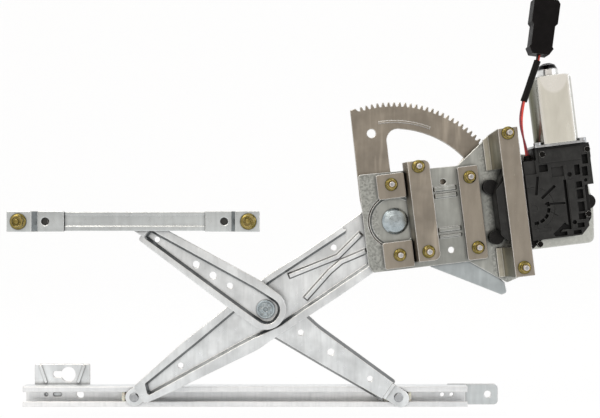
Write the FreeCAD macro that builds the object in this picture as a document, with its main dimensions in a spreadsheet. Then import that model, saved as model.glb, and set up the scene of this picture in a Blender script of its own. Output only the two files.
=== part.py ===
"""Power window regulator of the crossed-arm kind, with its gear motor.

Millimetres. X runs to the right and Z up, as the regulator hangs in the door; Y runs away from
the viewer, from the cabin towards the glass. The origin is on the axis of the upper door stud
beside the main pivot, at the front face of its nut.
"""
import FreeCAD, Part
import math
import os
from types import SimpleNamespace
from FreeCAD import Placement, Rotation, Vector

SIZES = {
    # linkage
    "guide_half": 175.0,        # main pivot to centre pivot, and centre pivot to the guide slider
    "lift_half": 183.0,         # centre pivot to either slider in the glass rail
    "rest_angle": 34.3,         # main arm below the horizontal at rest, degrees
    "plate_turn": 7.0,          # base plate leans to the left, degrees
    "pivot_drop": 41.0,         # main pivot below the origin stud, along the plate
    # sheet and fasteners
    "sheet_thick": 2.0,
    "rail_sheet": 1.6,
    "nut_high": 5.7,
    "thread_step": 0.3,         # shank left between the nut and the free thread
    "nut_across": 10.0,
    "nut_flange": 7.1,
    "stud_radius": 3.0,
    "thread_radius": 2.6,
    "stud_free": 5.0,
    "run_gap": 0.05,
    "side_gap": 0.3,
    # base plate
    "pad_rise": 6.0,
    "seat_drop": 3.0,
    "seat_radius": 31.0,
    "strap_rise": 14.0,
    "bridge_rise": 26.0,
    "stud_pitch": 78.5,
    "bridge_pitch": 147.0,
    # sector, pinion and worm
    "tooth_module": 2.0,
    "sector_teeth": 132.0,      # teeth of the whole circle that the sector is cut from
    "pinion_teeth": 16.0,
    "sector_thick": 3.5,
    "pinion_face": 8.0,
    "wheel_teeth": 58.0,
    "worm_radius": 5.6,
    "wheel_face": 10.0,
    # depths behind the base plate
    "arm_gap": 7.0,             # back of the pivot seat to the sector
    "brim_rise": 6.0,
    "half_gap": 3.0,            # main arm to the rear half of the equalizer
    "pivot_radius": 8.0,
    "centre_radius": 9.0,
    "slider_pin": 4.0,
    # rails
    "guide_high": 21.0,
    "guide_deep": 12.0,
    "guide_long": 208.0,
    "rail_high": 23.0,
    "rail_deep": 15.0,
    "rail_long": 510.0,
    "lip_wide": 4.4,
    "swage_rise": 1.8,
    "plate_swage": 1.2,
    "slider_long": 30.0,
    "guide_pitch": 250.3,
    "foot_rise": 8.0,
    # motor
    "can_radius": 23.5,
    "can_flat": 17.0,
    "can_long": 74.0,
    "can_wall": 1.6,
    "case_wall": 2.5,
    "lug_deep": 10.0,
    "shaft_radius": 2.5,
}

doc = FreeCAD.newDocument("WindowRegulator")
sheet = doc.addObject("Spreadsheet::Sheet", "Sizes")
for row, (alias, number) in enumerate(SIZES.items(), start=1):
    sheet.set("A%d" % row, str(number))
    sheet.setAlias("A%d" % row, alias)
doc.recompute()
v = SimpleNamespace(**SIZES)

nodes = []


def turn(degrees):
    """A turn in the plane of the photograph, clockwise for the viewer."""
    return Rotation(Vector(0, 1, 0), degrees)


def on_plate(u, w, y=0.0):
    """A point given along and up the leaning base plate, in the part's own frame."""
    return turn(-v.plate_turn).multVec(Vector(u, y, w))


# Depths, front to back
PAD_Y = v.nut_high + v.thread_step
WEB_Y = PAD_Y + v.pad_rise
WEB_BACK = WEB_Y + v.sheet_thick
SEAT_Y = WEB_Y + v.seat_drop
SEAT_BACK = SEAT_Y + v.sheet_thick
STRAP_Y = WEB_Y - v.strap_rise
BRIDGE_Y = WEB_Y - v.bridge_rise
SECTOR_Y = SEAT_BACK + v.arm_gap
ARM_Y = SECTOR_Y + v.sector_thick
ARM_BACK = ARM_Y + v.sheet_thick
BRIM_Y = ARM_Y - v.brim_rise
UPPER_BACK = BRIM_Y - 1.0
UPPER_Y = UPPER_BACK - v.sheet_thick
UPPER_BRIM_Y = UPPER_Y - v.brim_rise
LOWER_Y = ARM_BACK + v.half_gap
LOWER_BACK = LOWER_Y + v.sheet_thick
LOWER_BRIM = LOWER_Y + v.brim_rise + 1.0
RAIL_Y = LOWER_BRIM + 3.0
RAIL_BACK = RAIL_Y + v.rail_deep
END_BACK = RAIL_Y - 1.5
END_Y = END_BACK - v.sheet_thick
GUIDE_BACK = UPPER_BRIM_Y - 2.0
GUIDE_Y = GUIDE_BACK - v.guide_deep
GUIDE_END_Y = GUIDE_BACK + 1.0

# Places of the pivots at rest
REST = math.radians(v.rest_angle)
PIVOT = on_plate(0, -v.pivot_drop)
CENTRE = PIVOT + Vector(-v.guide_half * math.cos(REST), 0, -v.guide_half * math.sin(REST))
GUIDE_END = CENTRE + Vector(-v.guide_half * math.cos(REST), 0, v.guide_half * math.sin(REST))
LIFT_A = CENTRE + Vector(-v.lift_half * math.cos(REST), 0, -v.lift_half * math.sin(REST))
LIFT_B = CENTRE + Vector(v.lift_half * math.cos(REST), 0, -v.lift_half * math.sin(REST))

PLATE_PLACE = Placement(Vector(0, 0, 0), turn(-v.plate_turn))
MAIN_PLACE = Placement(PIVOT, turn(180 - v.rest_angle))
UPPER_PLACE = Placement(CENTRE, turn(180 + v.rest_angle))
LOWER_PLACE = Placement(CENTRE, turn(v.rest_angle))

PITCH_RADIUS = v.tooth_module * v.sector_teeth / 2
PINION_PITCH = v.tooth_module * v.pinion_teeth / 2
DRIVE_REACH = PITCH_RADIUS + PINION_PITCH
DRIVE_DROP = 4.0
DRIVE_U = math.sqrt(DRIVE_REACH ** 2 - DRIVE_DROP ** 2)
DRIVE_W = -v.pivot_drop - DRIVE_DROP
WHEEL_PITCH = v.wheel_teeth / 2
WORM_U = DRIVE_U + WHEEL_PITCH + 1.0 + v.side_gap + v.worm_radius
COVER_Y = BRIDGE_Y + v.sheet_thick + v.side_gap
MOTOR_Y = COVER_Y + v.case_wall + v.worm_radius + 0.4


def outline(corners):
    """Lines and arcs round a closed outline; a third number on a corner rounds it."""
    count = len(corners)
    flat = [Vector(c[0], c[1], 0) for c in corners]
    starts, ends, arcs = [], [], []
    for i, corner in enumerate(corners):
        here = flat[i]
        radius = corner[2] if len(corner) > 2 else 0
        back = (flat[i - 1] - here)
        ahead = (flat[(i + 1) % count] - here)
        if not radius:
            starts.append(here)
            ends.append(here)
            arcs.append(None)
            continue
        half = back.getAngle(ahead) / 2
        back.normalize()
        ahead.normalize()
        reach = radius / math.tan(half)
        first, last = here + back * reach, here + ahead * reach
        middle = (back + ahead).normalize()
        crown = here + middle * (radius / math.sin(half) - radius)
        starts.append(first)
        ends.append(last)
        arcs.append(Part.Arc(first, crown, last))
    edges = []
    for i in range(count):
        if arcs[i]:
            edges.append(arcs[i])
        if (starts[(i + 1) % count] - ends[i]).Length > 1e-6:
            edges.append(Part.LineSegment(ends[i], starts[(i + 1) % count]))
    return edges


def ring(x, z, radius):
    return [Part.Circle(Vector(x, z, 0), Vector(0, 0, 1), radius)]


def arc_band(x, z, inner, outer, first, last):
    """A band between two circles, from one angle to another."""
    ends = []
    for radius, angles in ((outer, (first, (first + last) / 2, last)), (inner, (last, (first + last) / 2, first))):
        ends.append([Vector(x + radius * math.cos(math.radians(a)), z + radius * math.sin(math.radians(a)), 0)
                     for a in angles])
    return [Part.Arc(*ends[0]), Part.LineSegment(ends[0][2], ends[1][0]), Part.Arc(*ends[1]),
            Part.LineSegment(ends[1][2], ends[0][0])]


def block(x0, x1, z0, z1, radius=0.0):
    return outline([(x0, z0, radius), (x1, z0, radius), (x1, z1, radius), (x0, z1, radius)])


def strip(points, width):
    """Outline of a band that follows a bent line, its ends square."""
    flat = [Vector(p[0], p[1], 0) for p in points]
    left, right = [], []
    for i, here in enumerate(flat):
        ways = []
        if i > 0:
            ways.append((here - flat[i - 1]).normalize())
        if i < len(flat) - 1:
            ways.append((flat[i + 1] - here).normalize())
        along = (ways[0] + ways[-1]).normalize()
        out = Vector(-along.y, along.x, 0)
        reach = width / 2 / max(0.3, math.cos(along.getAngle(ways[0])))
        left.append(here + out * reach)
        right.append(here - out * reach)
    return outline([(p.x, p.y) for p in left + right[::-1]])


def body(name):
    made = doc.addObject("PartDesign::Body", name)
    made.Label = name
    return made


def sketch(owner, role, offset, wires):
    """A sketch on one of the body's own planes; XZ faces the viewer, XY faces up."""
    plane = [f for f in owner.Origin.OriginFeatures if f.Role == role][0]
    made = owner.newObject("Sketcher::SketchObject", owner.Name + "Sketch")
    made.AttachmentSupport = (plane, [""])
    made.MapMode = "FlatFace"
    made.AttachmentOffset = Placement(Vector(0, 0, offset), Rotation())
    for wire in wires:
        made.addGeometry(list(wire), False)
    return made


def pad(owner, y_from, length, *wires, away=False, taper=0.0):
    """Adds material from y_from towards the viewer, or away; a negative taper narrows it on the way."""
    feature = owner.newObject("PartDesign::Pad", owner.Name + "Pad")
    feature.Profile = sketch(owner, "XZ_Plane", -y_from, wires)
    feature.Reversed = away
    feature.setExpression("Length", length)
    feature.TaperAngle = taper
    return feature


def pocket(owner, y_from, length, *wires, forward=False, taper=0.0):
    """Cuts from y_from away from the viewer, or towards the viewer; a negative taper narrows the cut."""
    feature = owner.newObject("PartDesign::Pocket", owner.Name + "Pocket")
    feature.Profile = sketch(owner, "XZ_Plane", -y_from, wires)
    feature.Reversed = forward
    feature.setExpression("Length", length)
    feature.TaperAngle = taper
    return feature


def pad_up(owner, z_from, length, *wires):
    feature = owner.newObject("PartDesign::Pad", owner.Name + "Rise")
    feature.Profile = sketch(owner, "XY_Plane", z_from, wires)
    feature.setExpression("Length", length)
    return feature


def turned(name, profile, place):
    """A turned piece: the profile holds radius and depth, and turns about the depth axis."""
    made = body(name)
    shape = sketch(made, "XY_Plane", 0, [outline(profile)])
    feature = made.newObject("PartDesign::Revolution", name + "Turn")
    feature.Profile = shape
    feature.ReferenceAxis = (shape, ["V_Axis"])
    feature.Angle = 360
    made.Placement = place
    return made


def emboss(owner, rise, outer, inner):
    """A flat raised towards the viewer from the web, hollow behind."""
    pad(owner, WEB_Y, rise, outer)
    pocket(owner, WEB_BACK, rise, inner, forward=True)


def keep(node, *pieces):
    nodes.append((node, list(pieces)))


def at_plate(u, w, y=0.0):
    return Placement(on_plate(u, w, y), turn(-v.plate_turn))


T = v.sheet_thick
DRAFT = 25.0          # slope of the arms' walls, degrees
SWAGE_DRAFT = 45.0    # slope of the pressed ribs

# Door studs, in pairs along the plate: place, and the face that the nut sits on
STUDS = [
    (0.0, 0.0, PAD_Y), (0.0, -v.stud_pitch, PAD_Y),
    (31.0, 16.0, STRAP_Y), (31.0, 16.0 - 1.2 * v.stud_pitch, STRAP_Y),
    (87.0, -2.3, PAD_Y), (87.0, -2.3 - v.stud_pitch, PAD_Y),
    (130.3, 39.8, BRIDGE_Y), (130.3, 39.8 - v.bridge_pitch, BRIDGE_Y),
]


def make_base_plate():
    plate = body("base_plate")
    edge = outline([(-35, 15, 3), (76, 12, 2), (108, 36, 3), (146, 30, 4), (146, 16, 2), (215, 6, 6),
                    (221, -50, 10), (217, -91, 7), (146, -91, 2), (141, -116, 3), (115, -124, 4),
                    (76, -95.5, 4), (-32, -95, 4), (-35.5, -86, 3)])
    pad(plate, WEB_BACK, "Sizes.sheet_thick", edge, ring(58, -3.9, 3.3), ring(57.8, -80.3, 3.3),
        ring(DRIVE_U, DRIVE_W, 14))
    seat = v.seat_radius
    pad(plate, SEAT_BACK, "Sizes.seat_drop", ring(0, -v.pivot_drop, seat))
    pocket(plate, WEB_Y, "Sizes.seat_drop", ring(0, -v.pivot_drop, seat - T), taper=-SWAGE_DRAFT)
    pocket(plate, WEB_Y, "20", arc_band(0, -v.pivot_drop, seat - T, seat - T + 1.4, 118, 236))
    pads = [(-16, 15, -15.5, 12), (-18, 15, -93, -63.5), (74.5, 97, -94, 10)]
    for left, right, low, high in pads:
        emboss(plate, "Sizes.pad_rise", block(left, right, low, high, 2.4),
               block(left + T, right - T, low + T, high - T, 0.8))
    for low, high in ((-22, -16), (-14.5, -8.5), (-60, -54), (-66.5, -62)):
        pad(plate, WEB_Y, "Sizes.plate_swage", block(46, 72, low, high, 1.5), taper=-SWAGE_DRAFT)
    holes = [ring(u, w, v.stud_radius) for u, w, face in STUDS if face == PAD_Y]
    holes += [ring(u, w, 2.6) for u, w in LUGS]
    pocket(plate, 0, "40", ring(0, -v.pivot_drop, v.pivot_radius - 1), *holes)
    plate.Placement = PLATE_PLACE
    keep("base_plate", plate)


def make_strap():
    strap = body("strap_left")
    high, low = 22.5, -88.5
    profile = outline([(19.5, STRAP_Y), (43.5, STRAP_Y), (43.5, WEB_Y), (43.5 - T, WEB_Y),
                       (43.5 - T, STRAP_Y + T), (21, STRAP_Y + T), (17.7, WEB_Y), (15.4, WEB_Y)])
    pad_up(strap, low, str(high - low), profile)
    pocket(strap, STRAP_Y - 1, "30", outline([(30, low - 5), (60, low - 5), (60, high + 5), (30, high + 5),
           (30, high), (43.5, high, 7), (43.5, low, 7), (30, low)]))
    pocket(strap, STRAP_Y - 1, "30", ring(31, 16, v.stud_radius),
           ring(31, 16 - 1.2 * v.stud_pitch, v.stud_radius))
    strap.Placement = PLATE_PLACE
    keep("strap_left", strap)


def make_bridge():
    bridge = body("motor_bridge")
    high, low = 45.5, -117.0
    left, right = 120.0, 141.0
    profile = outline([(left, BRIDGE_Y), (right, BRIDGE_Y), (right, BRIDGE_Y + T), (left + 1.5, BRIDGE_Y + T),
                       (left - 5, WEB_Y), (left - 13, WEB_Y), (left - 13, WEB_Y - T), (left - 6.6, WEB_Y - T)])
    pad_up(bridge, low, str(high - low), profile)
    pocket(bridge, BRIDGE_Y + T, "40", block(left - 20, left + 2, -84, 2))
    pocket(bridge, BRIDGE_Y - 1, "40", outline([(left - 20, 37), (left - 12, 37), (left, high),
           (left, high + 5), (left - 20, high + 5)]))
    pocket(bridge, BRIDGE_Y - 1, "5", ring(130.3, 39.8, v.stud_radius),
           ring(130.3, 39.8 - v.bridge_pitch, v.stud_radius))
    bridge.Placement = PLATE_PLACE
    keep("motor_bridge", bridge)


def make_gusset():
    gusset = body("rear_gusset")
    edge = [(30, -84), (78, -84), (113, -124, 3), (114, -135, 3), (108, -137, 3), (34, -97, 3)]
    pad(gusset, WEB_BACK + T, "Sizes.sheet_thick", outline(edge))
    pad(gusset, WEB_BACK + 8, "8", strip([(34, -95.8), (110, -135.8)], T))
    gusset.Placement = PLATE_PLACE
    keep("rear_gusset", gusset)


def make_fasteners():
    studs, nuts = [], []
    for number, (u, w, face) in enumerate(STUDS, start=1):
        back = face + T
        r, flange = v.stud_radius, v.nut_flange
        step = face - v.nut_high - v.thread_step
        front, tip = step - v.stud_free, v.thread_radius
        studs.append(turned("door_stud_%d" % number, [(0, front), (tip - 0.6, front), (tip, front + 0.6), (tip, step),
                            (r, step), (r, back), (6.2, back), (6.2, back + 2), (0, back + 2)], at_plate(u, w)))
        nut = body("door_nut_%d" % number)
        pad(nut, face, "Sizes.nut_high", hexagon(v.nut_across), ring(0, 0, r))
        pad(nut, face, "1.4", ring(0, 0, flange), ring(0, 0, r))
        nut.Placement = at_plate(u, w)
        nuts.append(nut)
    keep("door_studs", *studs)
    keep("door_nuts", *nuts)


def hexagon(across):
    reach = across / 2 / math.cos(math.pi / 6)
    return outline([(reach * math.cos(i * math.pi / 3), reach * math.sin(i * math.pi / 3)) for i in range(6)])


def make_pivot():
    r = v.pivot_radius
    seat = SEAT_Y
    pin = turned("pivot_pin", [(0, seat - 5.5), (7, seat - 5), (12, seat - 3.4), (14.5, seat - 1.4), (14.5, seat),
                 (r - 1, seat), (r - 1, SEAT_BACK), (r, SEAT_BACK), (r, ARM_BACK + 0.15), (12, ARM_BACK + 0.15),
                 (12, ARM_BACK + 1.3), (0, ARM_BACK + 1.3)], Placement(PIVOT, Rotation()))
    keep("pivot_pin", pin)
    spacer = turned("pivot_spacer", [(r, SEAT_BACK), (14, SEAT_BACK), (14, SECTOR_Y - 0.15),
                    (r, SECTOR_Y - 0.15)], Placement(PIVOT, Rotation()))
    keep("pivot_spacer", spacer)


def sector_rim(first, last):
    """The toothed rim: straight-flanked teeth, as a punched sector has."""
    tip = PITCH_RADIUS + v.tooth_module
    root = PITCH_RADIUS - 1.25 * v.tooth_module
    step = 2 * math.pi / v.sector_teeth
    start = math.ceil(math.radians(first) / step)
    stop = math.floor(math.radians(last) / step)
    points = []
    for i in range(start, stop + 1):
        middle = i * step + MESH_SHIFT
        for radius, share in ((root, -0.36), (tip, -0.13), (tip, 0.13), (root, 0.36)):
            a = middle + share * step
            points.append((radius * math.cos(a), radius * math.sin(a)))
    return points


DRIVE_ANGLE = math.radians(v.plate_turn) - math.asin(DRIVE_DROP / DRIVE_REACH)
SECTOR_STEP = 2 * math.pi / v.sector_teeth
MESH_SHIFT = math.fmod(DRIVE_ANGLE, SECTOR_STEP)


def polar(radius, degrees):
    a = math.radians(degrees)
    return (radius * math.cos(a), radius * math.sin(a))


RIVETS = [polar(21.5, angle) for angle in (90, 210, 330)]


def make_sector():
    sector = body("sector_gear")
    rim = sector_rim(-6, 106)
    tip = PITCH_RADIUS + v.tooth_module
    hub = 30.0
    edge = [polar(hub + 4, -60) + (12,), polar(hub + 20, -25) + (20,), polar(tip - 12, -9) + (4,)]
    edge += rim
    edge += [polar(tip - 3, 108.4), polar(tip, 109), polar(tip, 111.8), (-38.7, 24, 20), (-31, -12, 14),
             polar(hub + 4, -120) + (14,)]
    inner = 104.0
    holes = [MAIN_PLACE.Rotation.multVec(Vector(x, 0, z)) for x, z in RIVETS]
    pad(sector, ARM_Y, "Sizes.sector_thick", outline(edge), outline_arc_opening(inner),
        ring(0, 0, v.pivot_radius + v.run_gap), ring(-25.7, 98.7, 4.9), *[ring(p.x, p.z, 3.4) for p in holes])
    pad(sector, SECTOR_Y, "0.8", arc_band(0, 0, inner + 7, inner + 9.5, 69, 99))
    sector.Placement = Placement(PIVOT, Rotation())
    keep("sector_gear", sector)


def outline_arc_opening(inner):
    """The window in the sector: an arc under the rim, straight sides, rounded corners."""
    first, last = polar(inner + 2, 42.5), polar(inner, 86)
    crown = polar(inner + 0.6, 64)
    start, end = Vector(*first, 0), Vector(*last, 0)
    corner = [(-8, 88), (-4.5, 57), (4, 40), (34, 36), (68, 58)]
    path = [Part.Arc(start, Vector(*crown, 0), end)]
    turn_in = Vector(-8, 88, 0)
    path.append(Part.Arc(end, Vector(-4.5, 100.5, 0), turn_in))
    previous = turn_in
    for x, z in corner[1:]:
        here = Vector(x, z, 0)
        path.append(Part.LineSegment(previous, here))
        previous = here
    path.append(Part.LineSegment(previous, start))
    return path


def make_main_arm():
    arm = body("main_arm")
    reach = v.guide_half + v.lift_half
    centre = v.guide_half
    fit = v.run_gap
    hub = outline([(-30, -29.5, 28), (60, -28.3), (60, 34.4), (-30, 29.5, 28)])
    pad(arm, ARM_BACK, "Sizes.sheet_thick", hub)
    outer = outline([(52, -28.3), (110, -28.3, 60), (centre - 25, -30.2, 60), (272, -21.8, 90),
                     (reach - 10, -11.5, 5), (reach - 10, 11.5, 5), (315, 17.5, 90), (208, 33, 30), (190, 32.6, 30),
                     (99, 34.8, 90), (52, 34.4)])
    wall = outline([(50, -23.9), (155, -25.7, 60), (260, -15.5, 90), (reach - 21, -9.2, 4), (reach - 16, 8.2, 4),
                    (212, 20.8, 40), (172, 27.2, 40), (50, 27.7)])
    floor = outline([(48, -21.9), (155, -23.7, 60), (260, -13.5, 90), (reach - 23, -7.2, 3),
                     (reach - 18, 6.2, 3), (212, 18.6, 40), (172, 25.2, 40), (48, 25.7)])
    pad(arm, BRIM_Y, "Sizes.brim_rise + Sizes.sheet_thick", wall, away=True, taper=-DRAFT)
    pad(arm, BRIM_Y + T, "Sizes.sheet_thick", outer)
    pocket(arm, BRIM_Y, "Sizes.brim_rise", floor, taper=-DRAFT)
    for line in ([(134, -15.6), (75, -2.6), (38, -9.5)], [(133, 16.4), (92, 6.2), (75, 4.4), (44, 10.5)]):
        pad(arm, ARM_Y, "Sizes.swage_rise", strip(line, 7.5), taper=-SWAGE_DRAFT)
    pad(arm, ARM_BACK, "Sizes.sheet_thick", block(reach - 28, reach - 13.5, -9, 9))
    pad(arm, END_BACK, str(END_BACK - ARM_Y), block(reach - 17, reach - 13.5, -9.8, 9.8))
    pad(arm, END_BACK, "Sizes.sheet_thick", outline([(reach - 17, -10, 0), (reach + 10, -10, 9.6),
        (reach + 10, 10, 9.6), (reach - 17, 10, 0)]))
    pocket(arm, BRIM_Y - 1, "40", ring(0, 0, v.pivot_radius + fit), ring(73, -13.5, 3.3), ring(291, -1.2, 3.3),
           ring(centre, 0, v.centre_radius + fit), ring(reach, 0, v.slider_pin),
           *[ring(x, z, 3.4) for x, z in RIVETS])
    arm.Placement = MAIN_PLACE
    keep("main_arm", arm)


def make_sector_rivets():
    rivets = []
    for number, (x, z) in enumerate(RIVETS, start=1):
        rivets.append(turned("sector_rivet_%d" % number, [(0, SECTOR_Y - 1.6), (3, SECTOR_Y - 1.6), (5, SECTOR_Y),
                      (3.4, SECTOR_Y), (3.4, ARM_BACK), (5, ARM_BACK), (3.6, ARM_BACK + 1.2), (0, ARM_BACK + 1.2)],
                      Placement(MAIN_PLACE.multVec(Vector(x, 0, z)), Rotation())))
    keep("sector_rivets", *rivets)


def make_equalizer():
    upper = body("equalizer_upper")
    reach = v.guide_half
    round_end = [(-22.5, -22.4, 22), (24, -23.6, 60)]
    outer = outline(round_end + [(reach - 39, -12, 60), (reach - 14, -10.5, 3), (reach - 14, 15.5, 3), (40, 21.3, 90),
                                 (-22.5, 22.4, 22)])
    wall = outline([(-18, -17.6, 15.6), (24, -16.4, 60), (reach - 26, -4.4, 60), (reach - 16, -4, 2),
                    (reach - 16, 12, 2), (24, 16.8, 60), (-18, 17.6, 15.6)])
    floor = outline([(-16, -15.6, 13.6), (24, -14.2, 60), (reach - 26, -2.2, 60), (reach - 18, -2, 1.5),
                     (reach - 18, 10, 1.5), (24, 14.7, 60), (-16, 15.6, 13.6)])
    pad(upper, UPPER_BRIM_Y, "Sizes.brim_rise + Sizes.sheet_thick", wall, away=True, taper=-DRAFT)
    pad(upper, UPPER_BRIM_Y + T, "Sizes.sheet_thick", outer)
    pocket(upper, UPPER_BRIM_Y, "Sizes.brim_rise", floor, taper=-DRAFT)
    pad(upper, UPPER_BACK, str(UPPER_BACK - GUIDE_END_Y), block(reach - 17.2, reach - 14.5, -9.8, 9.8))
    pad(upper, GUIDE_END_Y + T, "Sizes.sheet_thick", outline([(reach - 17.2, -9.8, 0), (reach + 9.8, -9.8, 9.5),
        (reach + 9.8, 9.8, 9.5), (reach - 17.2, 9.8, 0)]))
    pocket(upper, UPPER_BRIM_Y - 5, "40", ring(0, 0, 6), ring(48, 0.7, 3.4), ring(70.2, 1.9, 4.1),
           ring(92.7, 2.3, 3.9), ring(reach - 30.6, 4.0, 3.3), ring(reach, 0, v.slider_pin))
    upper.Placement = UPPER_PLACE
    keep("equalizer_upper", upper)

    lower = body("equalizer_lower")
    reach = v.lift_half
    shape = [(-22.5, -22.4, 22), (24, -24.6, 60), (87, -20.5, 60), (reach - 13, -14, 3), (reach - 13, 14, 3),
             (62, 17.4, 60), (44, 19.8, 40), (-22.5, 22.4, 22)]
    inner = [(-20.5, -20.3, 20), (24, -22.4, 60), (87, -18.4, 60), (reach - 15, -12, 2), (reach - 15, 12, 2),
             (62, 15.3, 60), (44, 17.7, 40), (-20.5, 20.3, 20)]
    pad(lower, LOWER_BRIM, "Sizes.brim_rise + 1", outline(shape), taper=-DRAFT)
    pocket(lower, LOWER_BRIM, "Sizes.brim_rise + 1 - Sizes.sheet_thick", outline(inner), forward=True, taper=-DRAFT)
    pad(lower, END_BACK, str(END_BACK - LOWER_Y), block(reach - 16, reach - 12.5, -9.8, 9.8))
    pad(lower, END_BACK, "Sizes.sheet_thick", outline([(reach - 16, -9.8, 0), (reach + 9.8, -9.8, 9),
        (reach + 13, 0, 3), (reach + 9.8, 9.8, 9), (reach - 16, 9.8, 0)]))
    pocket(lower, LOWER_Y - 1, "40", ring(0, 0, 6), ring(48.3, -1, 3.3), ring(89, 0, 3.9), ring(142.8, 0, 3.3),
           ring(reach, 0, v.slider_pin))
    lower.Placement = LOWER_PLACE
    keep("equalizer_lower", lower)


def make_centre():
    place = Placement(CENTRE, turn(v.rest_angle))
    keep("centre_rivet", turned("centre_rivet", [(0, UPPER_Y - 1.6), (3.4, UPPER_Y - 1.6), (3.4, UPPER_Y - 2.6),
         (10.4, UPPER_Y - 2.6), (12.2, UPPER_Y - 0.8), (12.2, UPPER_Y), (6, UPPER_Y), (6, LOWER_BACK), (11, LOWER_BACK),
         (11, LOWER_BACK + 1.6), (0, LOWER_BACK + 2.4)], place))
    r = v.centre_radius
    keep("centre_bush", turned("centre_bush", [(6, UPPER_BACK), (13, UPPER_BACK), (13, ARM_Y - 0.15),
         (r, ARM_Y - 0.15), (r, LOWER_Y), (6, LOWER_Y)], place))
    keep("centre_washer", turned("centre_washer", [(r, ARM_BACK + 0.15), (13, ARM_BACK + 0.15), (13, LOWER_Y),
         (r, LOWER_Y)], place))


def slider_stud(name, place, inner, front, back, tip):
    """A shouldered stud riveted in an arm's end; its tip carries the slider."""
    r = v.slider_pin
    way = 1 if tip > back else -1
    head = front - 1.6 * way
    keep(name, turned(name, [(0, head), (4.2, head), (5.4, front), (r, front), (r, tip - way), (r - 1, tip),
         (0, tip)], place))


def slider(name, place, front, deep, high):
    made = body(name)
    half = v.slider_long / 2
    pad(made, front + deep, str(deep), block(-half, half, -high / 2, high / 2, 4.0),
        ring(0, 0, v.slider_pin + v.run_gap))
    for side in (-1, 1):
        pocket(made, front - 1, "40", block(side * (half - 4.2) - 1, side * (half - 4.2) + 1,
               -high / 2 + 3.5, high / 2 - 3.5, 0.9))
    made.Placement = place
    keep(name, made)


def make_sliders():
    lip, gap = v.rail_sheet, v.side_gap
    for name, spot in (("a", LIFT_A), ("b", LIFT_B)):
        place = Placement(spot, Rotation())
        slider_stud("stud_" + name, place, 0, END_Y, END_BACK, RAIL_BACK - lip - 1.5)
        slider("slider_" + name, place, RAIL_Y + lip + gap, v.rail_deep - 2 * lip - 2 * gap,
               v.rail_high - 2 * lip - 2 * gap)
    place = Placement(GUIDE_END, Rotation())
    slider_stud("stud_t", place, 0, GUIDE_END_Y + T, GUIDE_END_Y, GUIDE_Y + lip + 1.5)
    slider("slider_t", place, GUIDE_Y + lip + gap, v.guide_deep - 2 * lip - 2 * gap,
           v.guide_high - 2 * lip - 2 * gap)


def channel(name, left, long, middle, high, deep, front, opens_back, holes):
    """A lipped channel along X; its closed face is pierced by the holes."""
    made = body(name)
    t = v.rail_sheet
    low = middle - high / 2
    back = front + deep
    closed = front if opens_back else back - t
    mouth = back if opens_back else front
    pad(made, back, str(deep), block(left, left + long, low, low + high))
    pocket(made, front + t, str(deep - 2 * t), block(left - 5, left + long + 5, low + t, low + high - t))
    opening = block(left - 5, left + long + 5, low + t + v.lip_wide, low + high - t - v.lip_wide)
    pocket(made, mouth, "%s * 1.5" % t, opening, forward=opens_back)
    if holes:
        pocket(made, closed - 0.5, str(t + 1), *holes)
    return made


GUIDE_LEFT = -388.0
FOOT_Y = GUIDE_Y - T - v.foot_rise
RAIL_LEFT = -419.0


def make_guide():
    middle = PIVOT.z
    bolt_mid = GUIDE_LEFT + v.guide_long / 2 + 1.5
    rail = channel("guide_rail", GUIDE_LEFT, v.guide_long, middle, v.guide_high, v.guide_deep, GUIDE_Y, True, [])
    pocket(rail, GUIDE_Y, "0.5", block(GUIDE_LEFT + 10, GUIDE_LEFT + v.guide_long - 10, middle - 5.2, middle + 6.6, 1))
    keep("guide_rail", rail)
    bolts, nuts = [], []
    for name, side in (("left", -1), ("right", 1)):
        bracket = body("guide_bracket_" + name)
        bolt_x = bolt_mid + side * v.guide_pitch / 2
        inner = bolt_x - side * 47.5
        step = bolt_x - side * 13.5
        high = v.guide_high / 2 + 0.8

        half = T / 2
        bent = strip([(inner, GUIDE_Y - half), (step - side * 5, GUIDE_Y - half), (step, FOOT_Y + half),
                      (bolt_x + side * 12.5, FOOT_Y + half)], T)
        pad_up(bracket, middle - high, str(2 * high), bent)
        pocket(bracket, FOOT_Y - 1, "20", ring(bolt_x, middle, 4), ring(bolt_x - side * 27, middle, 4.4))
        keep("guide_bracket_" + name, bracket)
        front = FOOT_Y
        bolt = turned("guide_bolt_" + name, [(0, front - 7), (4, front - 7), (4, front - 1.6), (8.9, front - 1.6),
                      (8.9, front), (4, front), (4, front + 12), (3.2, front + 13), (0, front + 13)],
                      Placement(Vector(bolt_x, 0, middle), Rotation()))
        cap = body("guide_bolt_head_" + name)
        pad(cap, front - 1.6, "5.6", hexagon(13))
        cap.Placement = Placement(Vector(bolt_x, 0, middle), Rotation())
        whole = doc.addObject("Part::MultiFuse", "guide_bolt_whole_" + name)
        whole.Shapes = [bolt, cap]
        bolts.append(whole)
        nut = body("guide_nut_" + name)
        pad(nut, front + T + 6.5, "6.5", block(-6.5, 6.5, -6.5, 6.5, 1), ring(0, 0, 4))
        nut.Placement = Placement(Vector(bolt_x, 0, middle), Rotation())
        nuts.append(nut)
    keep("guide_bolts", *bolts)
    keep("guide_weld_nuts", *nuts)


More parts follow.
